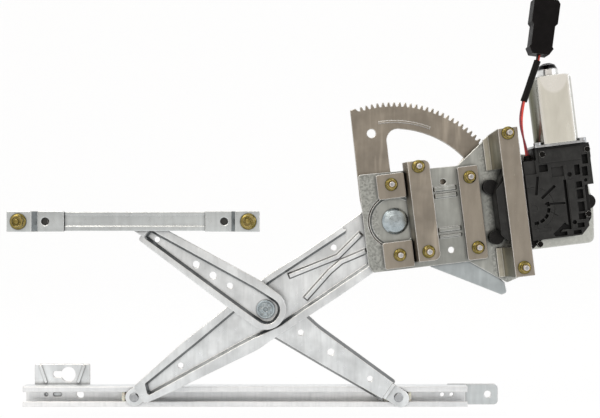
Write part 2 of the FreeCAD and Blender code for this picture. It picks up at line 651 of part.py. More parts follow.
def make_glass_rail():
    middle = LIFT_A.z
    right = RAIL_LEFT + v.rail_long
    holes = [ring(-395.7, middle, 2.4), block(-388, -377.5, middle - 2.4, middle + 2.4, 2.3),
             ring(-356.5, middle, 4.6), ring(64, middle, 2.4), ring(75, middle, 2.4)]
    rail = channel("glass_rail", RAIL_LEFT, v.rail_long, middle, v.rail_high, v.rail_deep, RAIL_Y, False, holes)
    keep("glass_rail", rail)
    top = middle + v.rail_high / 2
    bracket = body("glass_bracket")
    key_x, key_z = -370.5, middle + 23.0
    keyhole = [(key_x - 18, key_z - 3.7, 3.6), (key_x - 7.9, key_z - 3.7), (key_x - 7.9, key_z + 3.7),
               (key_x - 18, key_z + 3.7, 3.6)]
    pad(bracket, RAIL_BACK + T, "Sizes.sheet_thick", block(-409.5, -345.5, middle - 9, top + 23.5, 2))
    pocket(bracket, RAIL_BACK - 1, "10", ring(key_x, key_z, 8.6))
    pocket(bracket, RAIL_BACK - 1, "10", outline(keyhole))
    for foot, head in ((-396, -403), (-359, -352)):
        pad(bracket, RAIL_BACK, "1.6", strip([(foot, top + 2), (head, top + 22)], 3))
    pocket(bracket, RAIL_BACK - 1, "10", ring(-356.5, middle, 4.6))
    keep("glass_bracket", bracket)
    tab = body("glass_tab")
    pad(tab, RAIL_BACK + T, "Sizes.sheet_thick", block(right - 24, right + 38, middle - 12, middle + 12, 5),
        ring(right + 26, middle, 4), ring(75, middle, 2.4))
    keep("glass_tab", tab)


CASE_BACK = WEB_Y
CHAMBER = WHEEL_PITCH + 1.8
CAN_FOOT = 22.0
WHEEL_Y = MOTOR_Y - v.wheel_face / 2


def case_outline(shrink=0.0):
    """The gearbox seen from the front: round over the wheel, square over the worm."""
    u, w = DRIVE_U, DRIVE_W
    s = shrink
    return outline([(u - 21 + s, w + 52 - s, 6), (WORM_U - 28, w + 52 - s, 1), (WORM_U - 28, CAN_FOOT - 2.2 - s, 1),
                    (WORM_U + 34 - s, CAN_FOOT - 2.2 - s, 4), (WORM_U + 34 - s, 4, 4), (WORM_U + 27 - s, -26, 8),
                    (WORM_U + 27 - s, -62, 8), (WORM_U + 14, -80 + s, 8), (u + 6, -80 + s, 6), (u - 6, -90 + s, 4),
                    (u - 14, w - 36 + s, 6), (u - 38 + s, w - 24, 14), (u - 38 + s, w + 24, 14)])


def make_gearbox():
    u, w = DRIVE_U, DRIVE_W
    case = body("gearbox_housing")
    pad(case, CASE_BACK, str(CASE_BACK - COVER_Y - v.case_wall), case_outline())
    for x, z in LUGS:
        pad(case, CASE_BACK, "Sizes.lug_deep", ring(x, z, 8))
    depth = str(MOTOR_Y + v.wheel_face / 2 + 1.5 - COVER_Y)
    pocket(case, COVER_Y, depth, ring(u, w, CHAMBER))
    deep = MOTOR_Y + v.worm_radius + 2.5 - COVER_Y
    pocket(case, COVER_Y, str(deep), block(WORM_U - 8, WORM_U + 8, -76, 25))
    pocket(case, COVER_Y, "60", ring(u, w, 8 + v.run_gap))
    pocket(case, CASE_BACK - v.lug_deep + 2, "20", *[ring(x, z, 2.6) for x, z in LUGS])
    case.Placement = PLATE_PLACE
    keep("gearbox_housing", case)

    cover = body("gearbox_cover")
    pad(cover, COVER_Y + v.case_wall, "Sizes.case_wall", case_outline())
    pad(cover, COVER_Y, "3.4", ring(u, w, 16.5), ring(u, w, 14.5))
    pad(cover, COVER_Y, "2.2", ring(u, w, 5))
    rib = "3.4"
    for degrees in (-62, -36, -10, 16, 42, 68):
        a, b = polar(14.9, degrees), polar(28 if degrees != -10 else 26, degrees)
        if u + b[0] > 142:
            pad(cover, COVER_Y, rib, strip([(u + a[0], w + a[1]), (u + b[0], w + b[1])], 1.6))
    pad(cover, COVER_Y, "4.2", block(WORM_U - 5.5, WORM_U + 5.5, -80, -2, 1.5))
    for level in (-8, -22, -36, -50, -64):
        pad(cover, COVER_Y, rib, block(WORM_U + 5, WORM_U + 26, level - 0.8, level + 0.8))
    for side in (-15, 12, 22):
        pad(cover, COVER_Y, rib, block(WORM_U + side - 0.8, WORM_U + side + 0.8, 1, 17))
    pad(cover, COVER_Y, rib, block(WORM_U - 24, WORM_U + 32, 0.5, 2.1))
    for x, z in COVER_SCREWS:
        pad(cover, COVER_Y, "2.4", ring(x, z, 5))
    pocket(cover, COVER_Y - 8, "8", block(u - 40, u - 6, w - 50, w + 50))
    cover.Placement = PLATE_PLACE
    keep("gearbox_cover", cover)

    screws = []
    for number, (x, z) in enumerate(COVER_SCREWS, start=1):
        face = COVER_Y - 2.4
        screws.append(turned("cover_screw_%d" % number, [(0, face - 2), (3.2, face - 2), (3.8, face), (0, face)],
                             at_plate(x, z)))
    keep("cover_screws", *screws)
    screws = []
    for number, (x, z) in enumerate(LUGS, start=1):
        tip = CASE_BACK - v.lug_deep + 2
        screws.append(turned("mount_screw_%d" % number, [(0, tip), (2.6, tip), (2.6, WEB_BACK), (5, WEB_BACK),
                             (4.6, WEB_BACK + 3), (0, WEB_BACK + 3)], at_plate(x, z)))
    keep("mount_screws", *screws)


LUGS = [(DRIVE_U - 40, DRIVE_W + 29), (DRIVE_U - 40, DRIVE_W - 27), (WORM_U + 29, -45)]
COVER_SCREWS = [(WORM_U + 29, 12), (WORM_U + 22, -58), (WORM_U - 20, 12), (DRIVE_U + 2, -84)]


def gear_points(teeth, module, phase):
    tip = module * teeth / 2 + module
    root = module * teeth / 2 - 1.2 * module
    step = 2 * math.pi / teeth
    points = []
    for i in range(int(round(teeth))):
        for radius, share in ((root, -0.33), (tip, -0.11), (tip, 0.11), (root, 0.33)):
            a = phase + (i + share) * step
            points.append((radius * math.cos(a), radius * math.sin(a)))
    return points


def make_drive():
    place = at_plate(DRIVE_U, DRIVE_W)
    pinion = body("output_pinion")
    middle = SECTOR_Y + v.sector_thick / 2
    front = middle - v.pinion_face / 2
    facing = math.pi - math.asin(DRIVE_DROP / DRIVE_REACH)
    phase = facing + math.pi / v.pinion_teeth
    pad(pinion, front + v.pinion_face, "Sizes.pinion_face", outline(gear_points(v.pinion_teeth, v.tooth_module, phase)))
    pad(pinion, front, str(front - WHEEL_Y - v.wheel_face), ring(0, 0, 8))
    pinion.Placement = place
    keep("output_pinion", pinion)
    wheel = body("worm_wheel")
    pad(wheel, WHEEL_Y + v.wheel_face, "Sizes.wheel_face", outline(gear_points(v.wheel_teeth, 1.0, 0.0)))
    for face, forward in ((WHEEL_Y, False), (WHEEL_Y + v.wheel_face, True)):
        pocket(wheel, face, "2.5", ring(0, 0, WHEEL_PITCH - 5), ring(0, 0, 10), forward=forward)
    wheel.Placement = place
    keep("worm_wheel", wheel)


def along_motor(name, profile):
    """A piece turned about the motor's axis; the profile holds radius and height up the axis."""
    made = body(name)
    shape = sketch(made, "XZ_Plane", 0, [outline(profile)])
    feature = made.newObject("PartDesign::Revolution", name + "Turn")
    feature.Profile = shape
    feature.ReferenceAxis = (shape, ["V_Axis"])
    feature.Angle = 360
    made.Placement = Placement(on_plate(WORM_U, 0, MOTOR_Y), turn(-v.plate_turn))
    return made


def make_motor():
    r, wall, foot, top = v.can_radius, v.can_wall, CAN_FOOT, CAN_FOOT + v.can_long
    can = along_motor("motor_can", [(r, foot), (r, top - 3), (r - 2.5, top), (11.2, top), (11.2, top + 7),
                      (8.5, top + 12.5), (4.5, top + 14.6), (0, top + 15), (0, top + 13.4), (4.5, top + 13),
                      (7.6, top + 11), (9.6, top + 7), (9.6, top - wall), (r - wall, top - wall), (r - wall, foot)])
    for side in (-1, 1):
        flat = side * v.can_flat
        cut = pocket(can, flat, "20", block(-40, 40, foot - 1, top + 0.2), forward=side < 0)
        cut.Label = "flat_%d" % (side + 2)
    for side in (-1, 1):
        inside = side * (v.can_flat - wall)
        y = min(side * v.can_flat, inside) + wall
        width = math.sqrt(r ** 2 - v.can_flat ** 2)
        pad(can, y, "Sizes.can_wall", block(-width - 1.2, width + 1.2, foot, top - 1))
    keep("motor_can", can)
    flange = body("can_flange")
    pad_up(flange, foot - 2.2, "2.2", outline([(-28.5, -17.5, 3), (28.5, -17.5, 3), (28.5, 17, 3), (-28.5, 17, 3)]),
           ring(0, 0, 15))
    flange.Placement = can.Placement
    keep("can_flange", flange)
    magnets = []
    for number, facing in enumerate((0, 180), start=1):
        magnet = body("magnet_%d" % number)
        inner, outer = 14.8, r - wall - 0.4
        a = math.radians(38)
        pts = []
        for radius, angles in ((outer, (-a, 0, a)), (inner, (a, 0, -a))):
            pts.append([Vector(radius * math.cos(q), radius * math.sin(q), 0) for q in angles])
        wires = [Part.Arc(*pts[0]), Part.LineSegment(pts[0][2], pts[1][0]), Part.Arc(*pts[1]),
                 Part.LineSegment(pts[1][2], pts[0][0])]
        pad_up(magnet, foot + 22, "42", wires)
        magnet.Placement = can.Placement.multiply(Placement(Vector(0, 0, 0), Rotation(Vector(0, 0, 1), facing)))
        magnets.append(magnet)
    keep("magnets", *magnets)
    keep("brush_card", along_motor("brush_card", [(9, foot + 3), (14.6, foot + 3), (14.6, foot + 7), (9, foot + 7)]))
    rs = v.shaft_radius
    worm = [(0, -72), (rs, -72), (rs, -64)]
    for i in range(12):
        base = -64 + i * 3.1
        worm += [(v.worm_radius - 1.9, base), (v.worm_radius, base + 0.9), (v.worm_radius, base + 1.6),
                 (v.worm_radius - 1.9, base + 2.5)]
    worm += [(rs, -64 + 12 * 3.1), (rs, top + 11), (0, top + 11)]
    keep("armature_shaft", along_motor("armature_shaft", worm))
    core = body("armature_core")
    slots = []
    for i in range(10):
        for radius, share in ((14, -0.36), (14, 0.36), (9, 0.30), (9, 0.70)):
            q = (i + share) * math.pi / 5
            slots.append((radius * math.cos(q), radius * math.sin(q)))
    pad_up(core, foot + 24, "38", outline(slots), ring(0, 0, rs))
    core.Placement = can.Placement
    keep("armature_core", core)
    keep("commutator", along_motor("commutator", [(rs, foot + 2), (8.2, foot + 2), (8.2, foot + 12), (rs, foot + 12)]))
    keep("end_bearing", along_motor("end_bearing", [(rs + v.run_gap, top - 1), (9.5, top - 1), (9.5, top + 6),
         (rs + v.run_gap, top + 6)]))
    screws = []
    for number, side in enumerate((-1, 1), start=1):
        screws.append(turned_up("can_screw_%d" % number, [(0, foot), (4.2, foot), (4.2, foot + 3), (0, foot + 3.6)],
                      Placement(on_plate(WORM_U + side * 24.2, 0, MOTOR_Y - 13.9), turn(-v.plate_turn))))
    keep("can_screws", *screws)


def turned_up(name, profile, place):
    made = body(name)
    shape = sketch(made, "XZ_Plane", 0, [outline(profile)])
    feature = made.newObject("PartDesign::Revolution", name + "Turn")
    feature.Profile = shape
    feature.ReferenceAxis = (shape, ["V_Axis"])
    feature.Angle = 360
    made.Placement = place
    return made


# The lead: wires out of the grommet, a sleeve that leans on the motor, and short tails
LEAD_FOOT = on_plate(150.2, DRIVE_W + 52, -5.0)
LEAD_START = on_plate(150.2, DRIVE_W + 58, -5.0)
LEAD_ROUTE = [LEAD_START, Vector(145.2, -7.0, 41.0), Vector(140.8, -13.0, 52.5), Vector(137.3, -18.5, 64.5),
              Vector(136.9, -22.3, 77.0), Vector(139.2, -23.2, 88.5)]
SLEEVE_END = Vector(154.0, -23.2, 132.0)
TAIL_END = Vector(155.2, -23.2, 138.0)
CONNECTOR_TOP = Vector(163.0, -23.2, 197.0)


def tube(name, route, radius):
    """A tube along straight runs joined by arcs as large as the runs allow."""
    edges = []
    start = route[0]
    for i in range(1, len(route) - 1):
        here = route[i]
        back, ahead = route[i - 1] - here, route[i + 1] - here
        bend = math.pi - back.getAngle(ahead)
        run = min(back.Length, ahead.Length)
        reach = 0.45 * run
        arc_radius = reach / math.tan(bend / 2)
        print("%s bend %d radius %.1f" % (name, i, arc_radius))
        back.normalize()
        ahead.normalize()
        first, last = here + back * reach, here + ahead * reach
        middle = (back + ahead).normalize()
        crown = here + middle * (arc_radius / math.cos(bend / 2) - arc_radius)
        edges.append(Part.LineSegment(start, first).toShape())
        edges.append(Part.Arc(first, crown, last).toShape())
        start = last
    edges.append(Part.LineSegment(start, route[-1]).toShape())
    path = Part.Wire(edges)
    section = Part.Wire([Part.Circle(route[0], route[1] - route[0], radius).toShape()])
    solid = path.makePipeShell([section], True, False)
    expected = math.pi * radius ** 2 * path.Length
    print("%s length %.1f volume share %.4f" % (name, path.Length, solid.Volume / expected))
    made = doc.addObject("Part::Feature", name)
    made.Shape = solid
    made.Label = name
    return made


def make_lead():
    keep("lead_wires", tube("lead_wires", LEAD_ROUTE, 1.9))
    sleeve = doc.addObject("Part::Feature", "lead_sleeve")
    way = SLEEVE_END - LEAD_ROUTE[-1]
    sleeve.Shape = Part.makeCylinder(3.7, way.Length, LEAD_ROUTE[-1], way)
    keep("lead_sleeve", sleeve)
    tail = doc.addObject("Part::Feature", "lead_tails")
    way = TAIL_END - SLEEVE_END
    tail.Shape = Part.makeCylinder(1.9, way.Length, SLEEVE_END, way)
    keep("lead_tails", tail)
    grommet = doc.addObject("Part::Feature", "lead_grommet")
    way = LEAD_START - LEAD_FOOT
    grommet.Shape = Part.makeCone(4.6, 3.0, way.Length, LEAD_FOOT, way)
    keep("lead_grommet", grommet)

    plug = body("connector")
    lean = math.degrees(math.atan2(CONNECTOR_TOP.x - TAIL_END.x, CONNECTOR_TOP.z - TAIL_END.z))
    long = (CONNECTOR_TOP - TAIL_END).Length
    profile = outline([(-9, 0, 1), (9, 0, 1), (13, 7), (11.5, 9), (11.5, 31), (14, 34), (14, long - 4, 2),
                       (11, long, 2), (-14, long, 2), (-14, 34), (-11.5, 31), (-11.5, 9), (-13, 7)])
    pad(plug, 9, "18", profile)
    plug.Placement = Placement(TAIL_END, turn(lean))
    pocket_shape = plug.newObject("PartDesign::Pocket", "connectorMouth")
    pocket_shape.Profile = sketch(plug, "XY_Plane", long, [block(-11, 10, -6, 6, 1.5)])
    pocket_shape.Length = 22
    keep("connector", plug)


for step in (make_base_plate, make_strap, make_bridge, make_gusset, make_fasteners, make_pivot, make_sector,
             make_main_arm, make_sector_rivets, make_equalizer, make_centre, make_sliders, make_guide,
             make_glass_rail, make_gearbox, make_drive, make_motor, make_lead):
    step()

doc.recompute()
for item in doc.Objects:
    if "Invalid" in item.State or "Error" in item.State:
        raise RuntimeError("%s failed: %s" % (item.Name, item.State))

os.makedirs("parts", exist_ok=True)
for node, pieces in nodes:
    for piece in pieces:
        if piece.Shape.isNull() or not piece.Shape.isValid():
            raise RuntimeError("%s has no valid shape" % piece.Name)
    if len(pieces) == 1:
        shape = pieces[0].Shape
    else:
        shape = Part.makeCompound([piece.Shape for piece in pieces])
    print("%-22s solids %d volume %.0f" % (node, len(shape.Solids), shape.Volume))
    shape.exportStep("parts/%s.step" % node)
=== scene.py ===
"""Dresses a crossed-arm window regulator: finishes, fasteners, lead, connector and a plain stage.

Metres. X runs to the right, Z up and Y away from the viewer, as the regulator hangs in the door.
"""

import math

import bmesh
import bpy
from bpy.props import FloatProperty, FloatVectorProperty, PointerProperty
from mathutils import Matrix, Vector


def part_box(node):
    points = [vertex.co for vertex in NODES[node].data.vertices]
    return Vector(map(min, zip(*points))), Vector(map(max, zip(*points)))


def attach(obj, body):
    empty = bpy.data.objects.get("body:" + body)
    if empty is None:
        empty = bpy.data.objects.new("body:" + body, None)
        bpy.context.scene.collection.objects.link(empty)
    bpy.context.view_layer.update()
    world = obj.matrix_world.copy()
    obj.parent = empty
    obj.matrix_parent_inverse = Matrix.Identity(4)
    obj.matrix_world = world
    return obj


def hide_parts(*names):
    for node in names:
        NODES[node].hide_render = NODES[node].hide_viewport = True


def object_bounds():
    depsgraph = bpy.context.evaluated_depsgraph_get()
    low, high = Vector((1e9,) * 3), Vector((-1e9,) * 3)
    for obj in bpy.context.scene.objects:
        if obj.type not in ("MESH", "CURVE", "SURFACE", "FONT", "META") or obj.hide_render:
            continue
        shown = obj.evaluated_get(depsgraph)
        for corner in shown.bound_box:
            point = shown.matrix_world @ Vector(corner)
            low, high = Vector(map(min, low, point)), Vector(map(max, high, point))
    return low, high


bl_info = {
    "name": "Window regulator",
    "version": (1, 0, 0),
    "blender": (4, 5, 0),
    "location": "3D View > Sidebar > Regulator",
    "description": "Finishes, fasteners, lead and stage for a crossed-arm window regulator",
    "category": "Object",
}

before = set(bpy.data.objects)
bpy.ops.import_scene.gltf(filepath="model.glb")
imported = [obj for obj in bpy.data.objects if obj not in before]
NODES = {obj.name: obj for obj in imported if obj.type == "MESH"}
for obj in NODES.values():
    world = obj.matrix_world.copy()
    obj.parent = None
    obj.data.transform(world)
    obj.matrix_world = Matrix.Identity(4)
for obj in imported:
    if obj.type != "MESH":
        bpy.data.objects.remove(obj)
CAD_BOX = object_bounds()
MM = 0.001


def linear(code):
    """A colour's sRGB hex value as the linear numbers that the nodes take."""
    parts = [int(code[i:i + 2], 16) / 255 for i in (1, 3, 5)]
    return tuple(c / 12.92 if c <= 0.04045 else ((c + 0.055) / 1.055) ** 2.4 for c in parts) + (1.0,)


# The base plate leans seven degrees to the left; u runs along it and w up it
LEAN = math.radians(7.0)


def on_plate(u, w, y):
    return Vector((u * math.cos(LEAN) - w * math.sin(LEAN), y, u * math.sin(LEAN) + w * math.cos(LEAN))) * MM


# Door studs: place on the plate and the face that the nut sits on, in millimetres
STUDS = [(0, 0, 6), (0, -78.5, 6), (31, 16, -2), (31, -78.2, -2), (87, -2.3, 6), (87, -80.8, 6),
         (130.3, 39.8, -14), (130.3, -107.2, -14)]

# The lead's route, and what follows it up to the connector
LEAD_ROUTE = [Vector(p) * MM for p in ((147.5, -5.0, 31.21), (145.2, -7.0, 41.0), (140.8, -13.0, 52.5),
                                       (137.3, -18.5, 64.5), (136.9, -22.3, 77.0), (139.2, -23.2, 88.5))]
LEAD_FOOT = Vector((148.23, -5.0, 25.25)) * MM
SLEEVE_END = Vector((154.0, -23.2, 132.0)) * MM
TAIL_END = Vector((155.2, -23.2, 138.0)) * MM
CONNECTOR_TOP = Vector((163.0, -23.2, 197.0)) * MM


class RegulatorSizes(bpy.types.PropertyGroup):
    nut_across: FloatProperty(name="Nut across flats", description="Across the flats of a door nut",
                              default=0.010, min=0.006, max=0.016, unit="LENGTH")
    nut_high: FloatProperty(name="Nut height", description="Height of a door nut with its flange",
                            default=0.0057, min=0.003, max=0.01, unit="LENGTH")
    nut_flange: FloatProperty(name="Nut flange radius", description="Radius of a door nut's flange",
                              default=0.0071, min=0.005, max=0.012, unit="LENGTH")
    stud_radius: FloatProperty(name="Stud radius", description="Outer radius of a door stud's thread",
                               default=0.003, min=0.002, max=0.006, unit="LENGTH")
    bolt_across: FloatProperty(name="Bolt across flats", description="Across the flats of a guide bolt",
                               default=0.013, min=0.008, max=0.02, unit="LENGTH")
    wire_wide: FloatProperty(name="Wire width", description="Outer diameter of one wire of the lead",
                             default=0.0021, min=0.001, max=0.004, unit="LENGTH")
    edge_round: FloatProperty(name="Sheet edge radius", description="How round the edges of the pressed sheet look",
                              default=0.0018, min=0.0001, max=0.003, unit="LENGTH")


class RegulatorColours(bpy.types.PropertyGroup):
    arm: FloatVectorProperty(name="Arm zinc", description="Bright zinc on the arms and rails", subtype="COLOR",
                             default=linear("#e6e9ea")[:3], min=0, max=1)
    # The face tone's warmth is a painted reflection of a warm room on the same zinc as the arms
    face: FloatVectorProperty(name="Face zinc", description="Warmer zinc on the sector, pads and straps",
                              subtype="COLOR", default=linear("#9d9589")[:3], min=0, max=1)
    yellow: FloatVectorProperty(name="Yellow zinc", description="Passivated zinc on nuts and bolts",
                                subtype="COLOR", default=linear("#85763a")[:3], min=0, max=1)
    moulding: FloatVectorProperty(name="Gearbox plastic", description="Black glass-filled nylon", subtype="COLOR",
                                  default=linear("#222221")[:3], min=0, max=1)
    wire: FloatVectorProperty(name="Red wire", description="Insulation of the lead's wires", subtype="COLOR",
                              default=linear("#cf4436")[:3], min=0, max=1)


def sizes():
    return bpy.context.scene.regulator_sizes


def colour(name):
    return tuple(getattr(bpy.context.scene.regulator_colours, name)) + (1.0,)


# Nodes and materials

def add(tree, kind, inputs=None, **settings):
    """One node with its settings; an input takes a value or another node's socket."""
    made = tree.nodes.new(kind)
    for key, value in settings.items():
        setattr(made, key, value)
    for key, value in (inputs or {}).items():
        if isinstance(value, bpy.types.NodeSocket):
            tree.links.new(value, made.inputs[key])
        else:
            made.inputs[key].default_value = value
    return made


def blank(name):
    made = bpy.data.materials.new(name)
    made.use_nodes = True
    tree = made.node_tree
    tree.nodes.clear()
    shader = add(tree, "ShaderNodeBsdfPrincipled")
    add(tree, "ShaderNodeOutputMaterial", {"Surface": shader.outputs[0]})
    place = add(tree, "ShaderNodeTexCoord").outputs["Object"]
    return made, tree, shader, place


def shade(rgba, factor):
    return tuple(min(1.0, c * factor) for c in rgba[:3]) + (1.0,)


def patches(tree, place, size, detail=3.0, stretch=(1, 1, 1), rough=0.55, turn=0.0):
    """Noise whose patches are about size metres across, drawn out by stretch."""
    scaled = add(tree, "ShaderNodeMapping", {"Vector": place, "Scale": [1 / s for s in stretch],
                                             "Rotation": (0, turn, 0)})
    return add(tree, "ShaderNodeTexNoise", {"Vector": scaled.outputs[0], "Scale": 1 / size, "Detail": detail,
                                            "Roughness": rough}).outputs["Fac"]


def lay(tree, body, tone, measure, low=0.0, high=1.0, most=1.0):
    """Lays a tone over the body: none of it where the measure is at low, the most of it where it is at high."""
    share = add(tree, "ShaderNodeMapRange", {"Value": measure, "From Min": low, "From Max": high, "To Max": most})
    return add(tree, "ShaderNodeMix", {0: share.outputs[0], 6: body, 7: tone}, data_type="RGBA").outputs[2]


def follow(tree, socket, measure, least, most, low=0.3, high=0.7):
    """Lets a shader's input run from least to most while the measure runs from low to high."""
    made = add(tree, "ShaderNodeMapRange", {"Value": measure, "From Min": low, "From Max": high,
                                            "To Min": least, "To Max": most})
    tree.links.new(made.outputs[0], socket)


def plate_axes(tree, vector, kind="POINT"):
    """A place or a normal, taken apart along the leaning plate's own axes."""
    turned = add(tree, "ShaderNodeMapping", {"Vector": vector, "Rotation": (0, LEAN, 0)}, vector_type=kind)
    return add(tree, "ShaderNodeSeparateXYZ", {"Vector": turned.outputs[0]}).outputs


def hollows(tree, reach):
    """1 in the open, 0 deep in a corner or a narrow gap: where the painted shade is laid."""
    seen = add(tree, "ShaderNodeAmbientOcclusion", {"Distance": reach}, samples=8).outputs["AO"]
    return add(tree, "ShaderNodeMapRange", {"Value": seen, "From Min": 0.35, "From Max": 0.9}).outputs[0]


def edges(tree, width):
    """1 on a sharp edge, 0 on a flat or gently curved face: where the painted highlight is laid."""
    soft = add(tree, "ShaderNodeBevel", {"Radius": width}, samples=6)
    flat = add(tree, "ShaderNodeNewGeometry").outputs["Normal"]
    same = add(tree, "ShaderNodeVectorMath", {0: soft.outputs[0], 1: flat}, operation="DOT_PRODUCT")
    return add(tree, "ShaderNodeMapRange", {"Value": same.outputs["Value"], "From Min": 0.985,
                                            "From Max": 0.86}).outputs[0]


def walls(tree, flat, steep):
    """1 on the slanted walls formed over the die, 0 on what lies flat to the front or back: where painted shade is
    laid on walls and flanks.
    """
    normal = add(tree, "ShaderNodeNewGeometry").outputs["Normal"]
    depth = add(tree, "ShaderNodeSeparateXYZ", {"Vector": normal}).outputs["Y"]
    size = add(tree, "ShaderNodeMath", {0: depth}, operation="ABSOLUTE").outputs[0]
    return add(tree, "ShaderNodeMapRange", {"Value": size, "From Min": flat, "From Max": steep}).outputs[0]


def painted_shade_and_highlight(tree, body, tone, reach, width, dark=0.3, rubbed="#f4f2ee"):
    """Painted shade in the corners and a painted highlight, a bright line along the edges that stand proud."""
    open_air = hollows(tree, reach)
    proud = add(tree, "ShaderNodeMath", {0: edges(tree, width), 1: open_air}, operation="MULTIPLY").outputs[0]
    return lay(tree, shade(tone, dark), lay(tree, body, linear(rubbed), proud), open_air)


def wear(tree, shader, place, edge, grain, size, strength):
    """Rounded edges from the bevel node, with a fine grain on top."""
    soft = add(tree, "ShaderNodeBevel", {"Radius": edge}, samples=8)
    bump = add(tree, "ShaderNodeBump", {"Height": patches(tree, place, size, 4), "Strength": strength,
                                        "Distance": grain, "Normal": soft.outputs[0]})
    tree.links.new(bump.outputs[0], shader.inputs["Normal"])


def pressed_zinc(name, tone, roughness=0.36, stretch=(1, 1, 1), raised=None, galvanised=False, corner_shade=0.3,
                 wall_shade=0.0, streak_reflection=0.65, hole_shade=(), metallic=1.0):
    """Zinc-plated pressed steel: cloudy patches about 30 mm across, faint rolling streaks and small scuffs.

    raised gives the two depths between which the colour turns to the warmer face tone, a painted warm reflection.
    galvanised adds spangle, corner_shade is how much light the painted shade leaves in the corners, wall_shade how
    dark the painted shade on the slanted walls is, and streak_reflection how strong the broad upright streaks of
    painted reflection are.
    hole_shade lists holes in front of the sheet, behind which a dark spot of painted shade lies, and metallic is
    below 1 where a dull bloom covers the zinc.
    """
    made, tree, shader, place = blank(name)
    axes = add(tree, "ShaderNodeSeparateXYZ", {"Vector": place}).outputs
    cloud = patches(tree, place, 0.030, 3, stretch)
    streak = patches(tree, place, 0.004, 2, (1, 1, 9))
    broad = patches(tree, place, 0.011, 2, (1, 1, 7), turn=LEAN)
    scuff = patches(tree, place, 0.0022, 6, (1, 1, 3), 0.7)
    body = lay(tree, shade(tone, 0.80), shade(tone, 1.10), cloud, 0.35, 0.68)
    body = lay(tree, body, shade(tone, 0.62), streak, 0.40, 0.75, 0.32)
    # Broad upright streaks of painted reflection
    body = lay(tree, body, shade(tone, 1.55), broad, 0.54, 0.70, streak_reflection)
    # Painted warm reflection: the faces between the raised depths take the warmer face tone
    if raised:
        face, reflection_cloud = colour("face"), patches(tree, place, 0.012, 4, (1, 1, 4))
        rubbed = lay(tree, shade(face, 0.86), shade(face, 1.08), reflection_cloud, 0.38, 0.7)
        body = lay(tree, body, rubbed, axes["Y"], *raised)
    if galvanised:
        body = spangled(tree, place, body, tone)
    body = lay(tree, body, shade(tone, 1.35), scuff, 0.66, 0.72, 0.6)
    # Painted shade: a dark spot on the sheet behind each hole in front of it
    for x, z in hole_shade:
        flat = add(tree, "ShaderNodeCombineXYZ", {"X": axes["X"], "Z": axes["Z"]}).outputs[0]
        away = add(tree, "ShaderNodeVectorMath", {0: flat, 1: (x, 0, z)}, operation="DISTANCE").outputs["Value"]
        body = lay(tree, body, linear("#4a4a48"), away, 0.0050, 0.0036)
    # Painted shade on the slanted walls
    if wall_shade:
        body = lay(tree, body, shade(tone, 0.12), walls(tree, 0.985, 0.93), most=wall_shade)
    # Painted shade in the corners and a painted highlight along the proud edges
    body = painted_shade_and_highlight(tree, body, tone, 0.005, 0.0013, corner_shade)
    tree.links.new(body, shader.inputs["Base Color"])
    follow(tree, shader.inputs["Roughness"], patches(tree, place, 0.006, 5), roughness - 0.07, roughness + 0.13,
           high=0.75)
    shader.inputs["Metallic"].default_value = metallic
    wear(tree, shader, place, sizes().edge_round, 0.00018, 0.0014, 0.25)
    return made


def spangled(tree, place, body, tone):
    """Crystal spangle of hot-dip zinc, 2 mm across, on both sides of the pads, and lighter zinc from 140 mm along
    the plate, by the gearbox.
    """
    along = plate_axes(tree, place)["X"]
    crystal = add(tree, "ShaderNodeTexVoronoi", {"Vector": place, "Scale": 560.0, "Randomness": 1.0})
    tint = add(tree, "ShaderNodeSeparateColor", {"Color": crystal.outputs["Color"]}).outputs[0]
    spangle = lay(tree, shade(tone, 0.62), shade(tone, 1.25), tint, 0.1, 0.9)
    for inner, outer in ((-0.0165, -0.019), (0.099, 0.103)):
        body = lay(tree, body, spangle, along, inner, outer, 0.7)
    return lay(tree, body, shade(tone, 1.7), along, 0.140, 0.150, 0.6)


def turned_zinc(name, tone, roughness=0.3):
    """Turned or headed steel with thin zinc: fine rings left by the tool, painted shade in the hollows and a painted
    highlight along the proud edges.
    """
    made, tree, shader, place = blank(name)
    cloud = patches(tree, place, 0.005, 4)
    body = lay(tree, shade(tone, 0.72), shade(tone, 1.12), cloud, 0.35, 0.7)
    tree.links.new(painted_shade_and_highlight(tree, body, tone, 0.003, 0.0004), shader.inputs["Base Color"])
    follow(tree, shader.inputs["Roughness"], cloud, roughness - 0.06, roughness + 0.12)
    shader.inputs["Metallic"].default_value = 1.0
    wear(tree, shader, place, 0.0004, 0.00012, 0.0006, 0.35)
    return made


def yellow_zinc(name, tone):
    """Yellow passivated zinc: olive gold, with painted shade that leaves it paler on what faces out and dark on the
    flanks of the hexagon.
    """
    made, tree, shader, place = blank(name)
    film = patches(tree, place, 0.006, 2)
    body = lay(tree, shade(tone, 0.9), linear("#a8955c"), film, 0.38, 0.62)
    # Painted shade on the flanks of the hexagon
    body = lay(tree, body, linear("#4d471c"), walls(tree, 0.97, 0.75), most=0.62)
    # Painted shade in the corners and a painted highlight along the proud edges
    body = painted_shade_and_highlight(tree, body, tone, 0.0035, 0.0005, 0.1, "#efe6bc")
    tree.links.new(body, shader.inputs["Base Color"])
    follow(tree, shader.inputs["Roughness"], film, 0.18, 0.32)
    shader.inputs["Metallic"].default_value = 1.0
    wear(tree, shader, place, 0.0004, 0.00006, 0.0008, 0.2)
    return made


def threaded(name, tone, pitch=0.001):
    """Zinc on a rolled thread: ridges one pitch apart along the stud."""
    made, tree, shader, place = blank(name)
    ridge = add(tree, "ShaderNodeTexWave", {"Vector": place, "Scale": 0.314 / pitch, "Distortion": 0.0},
                bands_direction="Y", wave_type="BANDS").outputs["Fac"]
    bump = add(tree, "ShaderNodeBump", {"Height": ridge, "Strength": 0.9, "Distance": 0.0004})
    tree.links.new(bump.outputs[0], shader.inputs["Normal"])
    tree.links.new(lay(tree, shade(tone, 0.45), tone, ridge, 0.0, 0.6), shader.inputs["Base Color"])
    shader.inputs["Metallic"].default_value = 1.0
    shader.inputs["Roughness"].default_value = 0.3
    return made


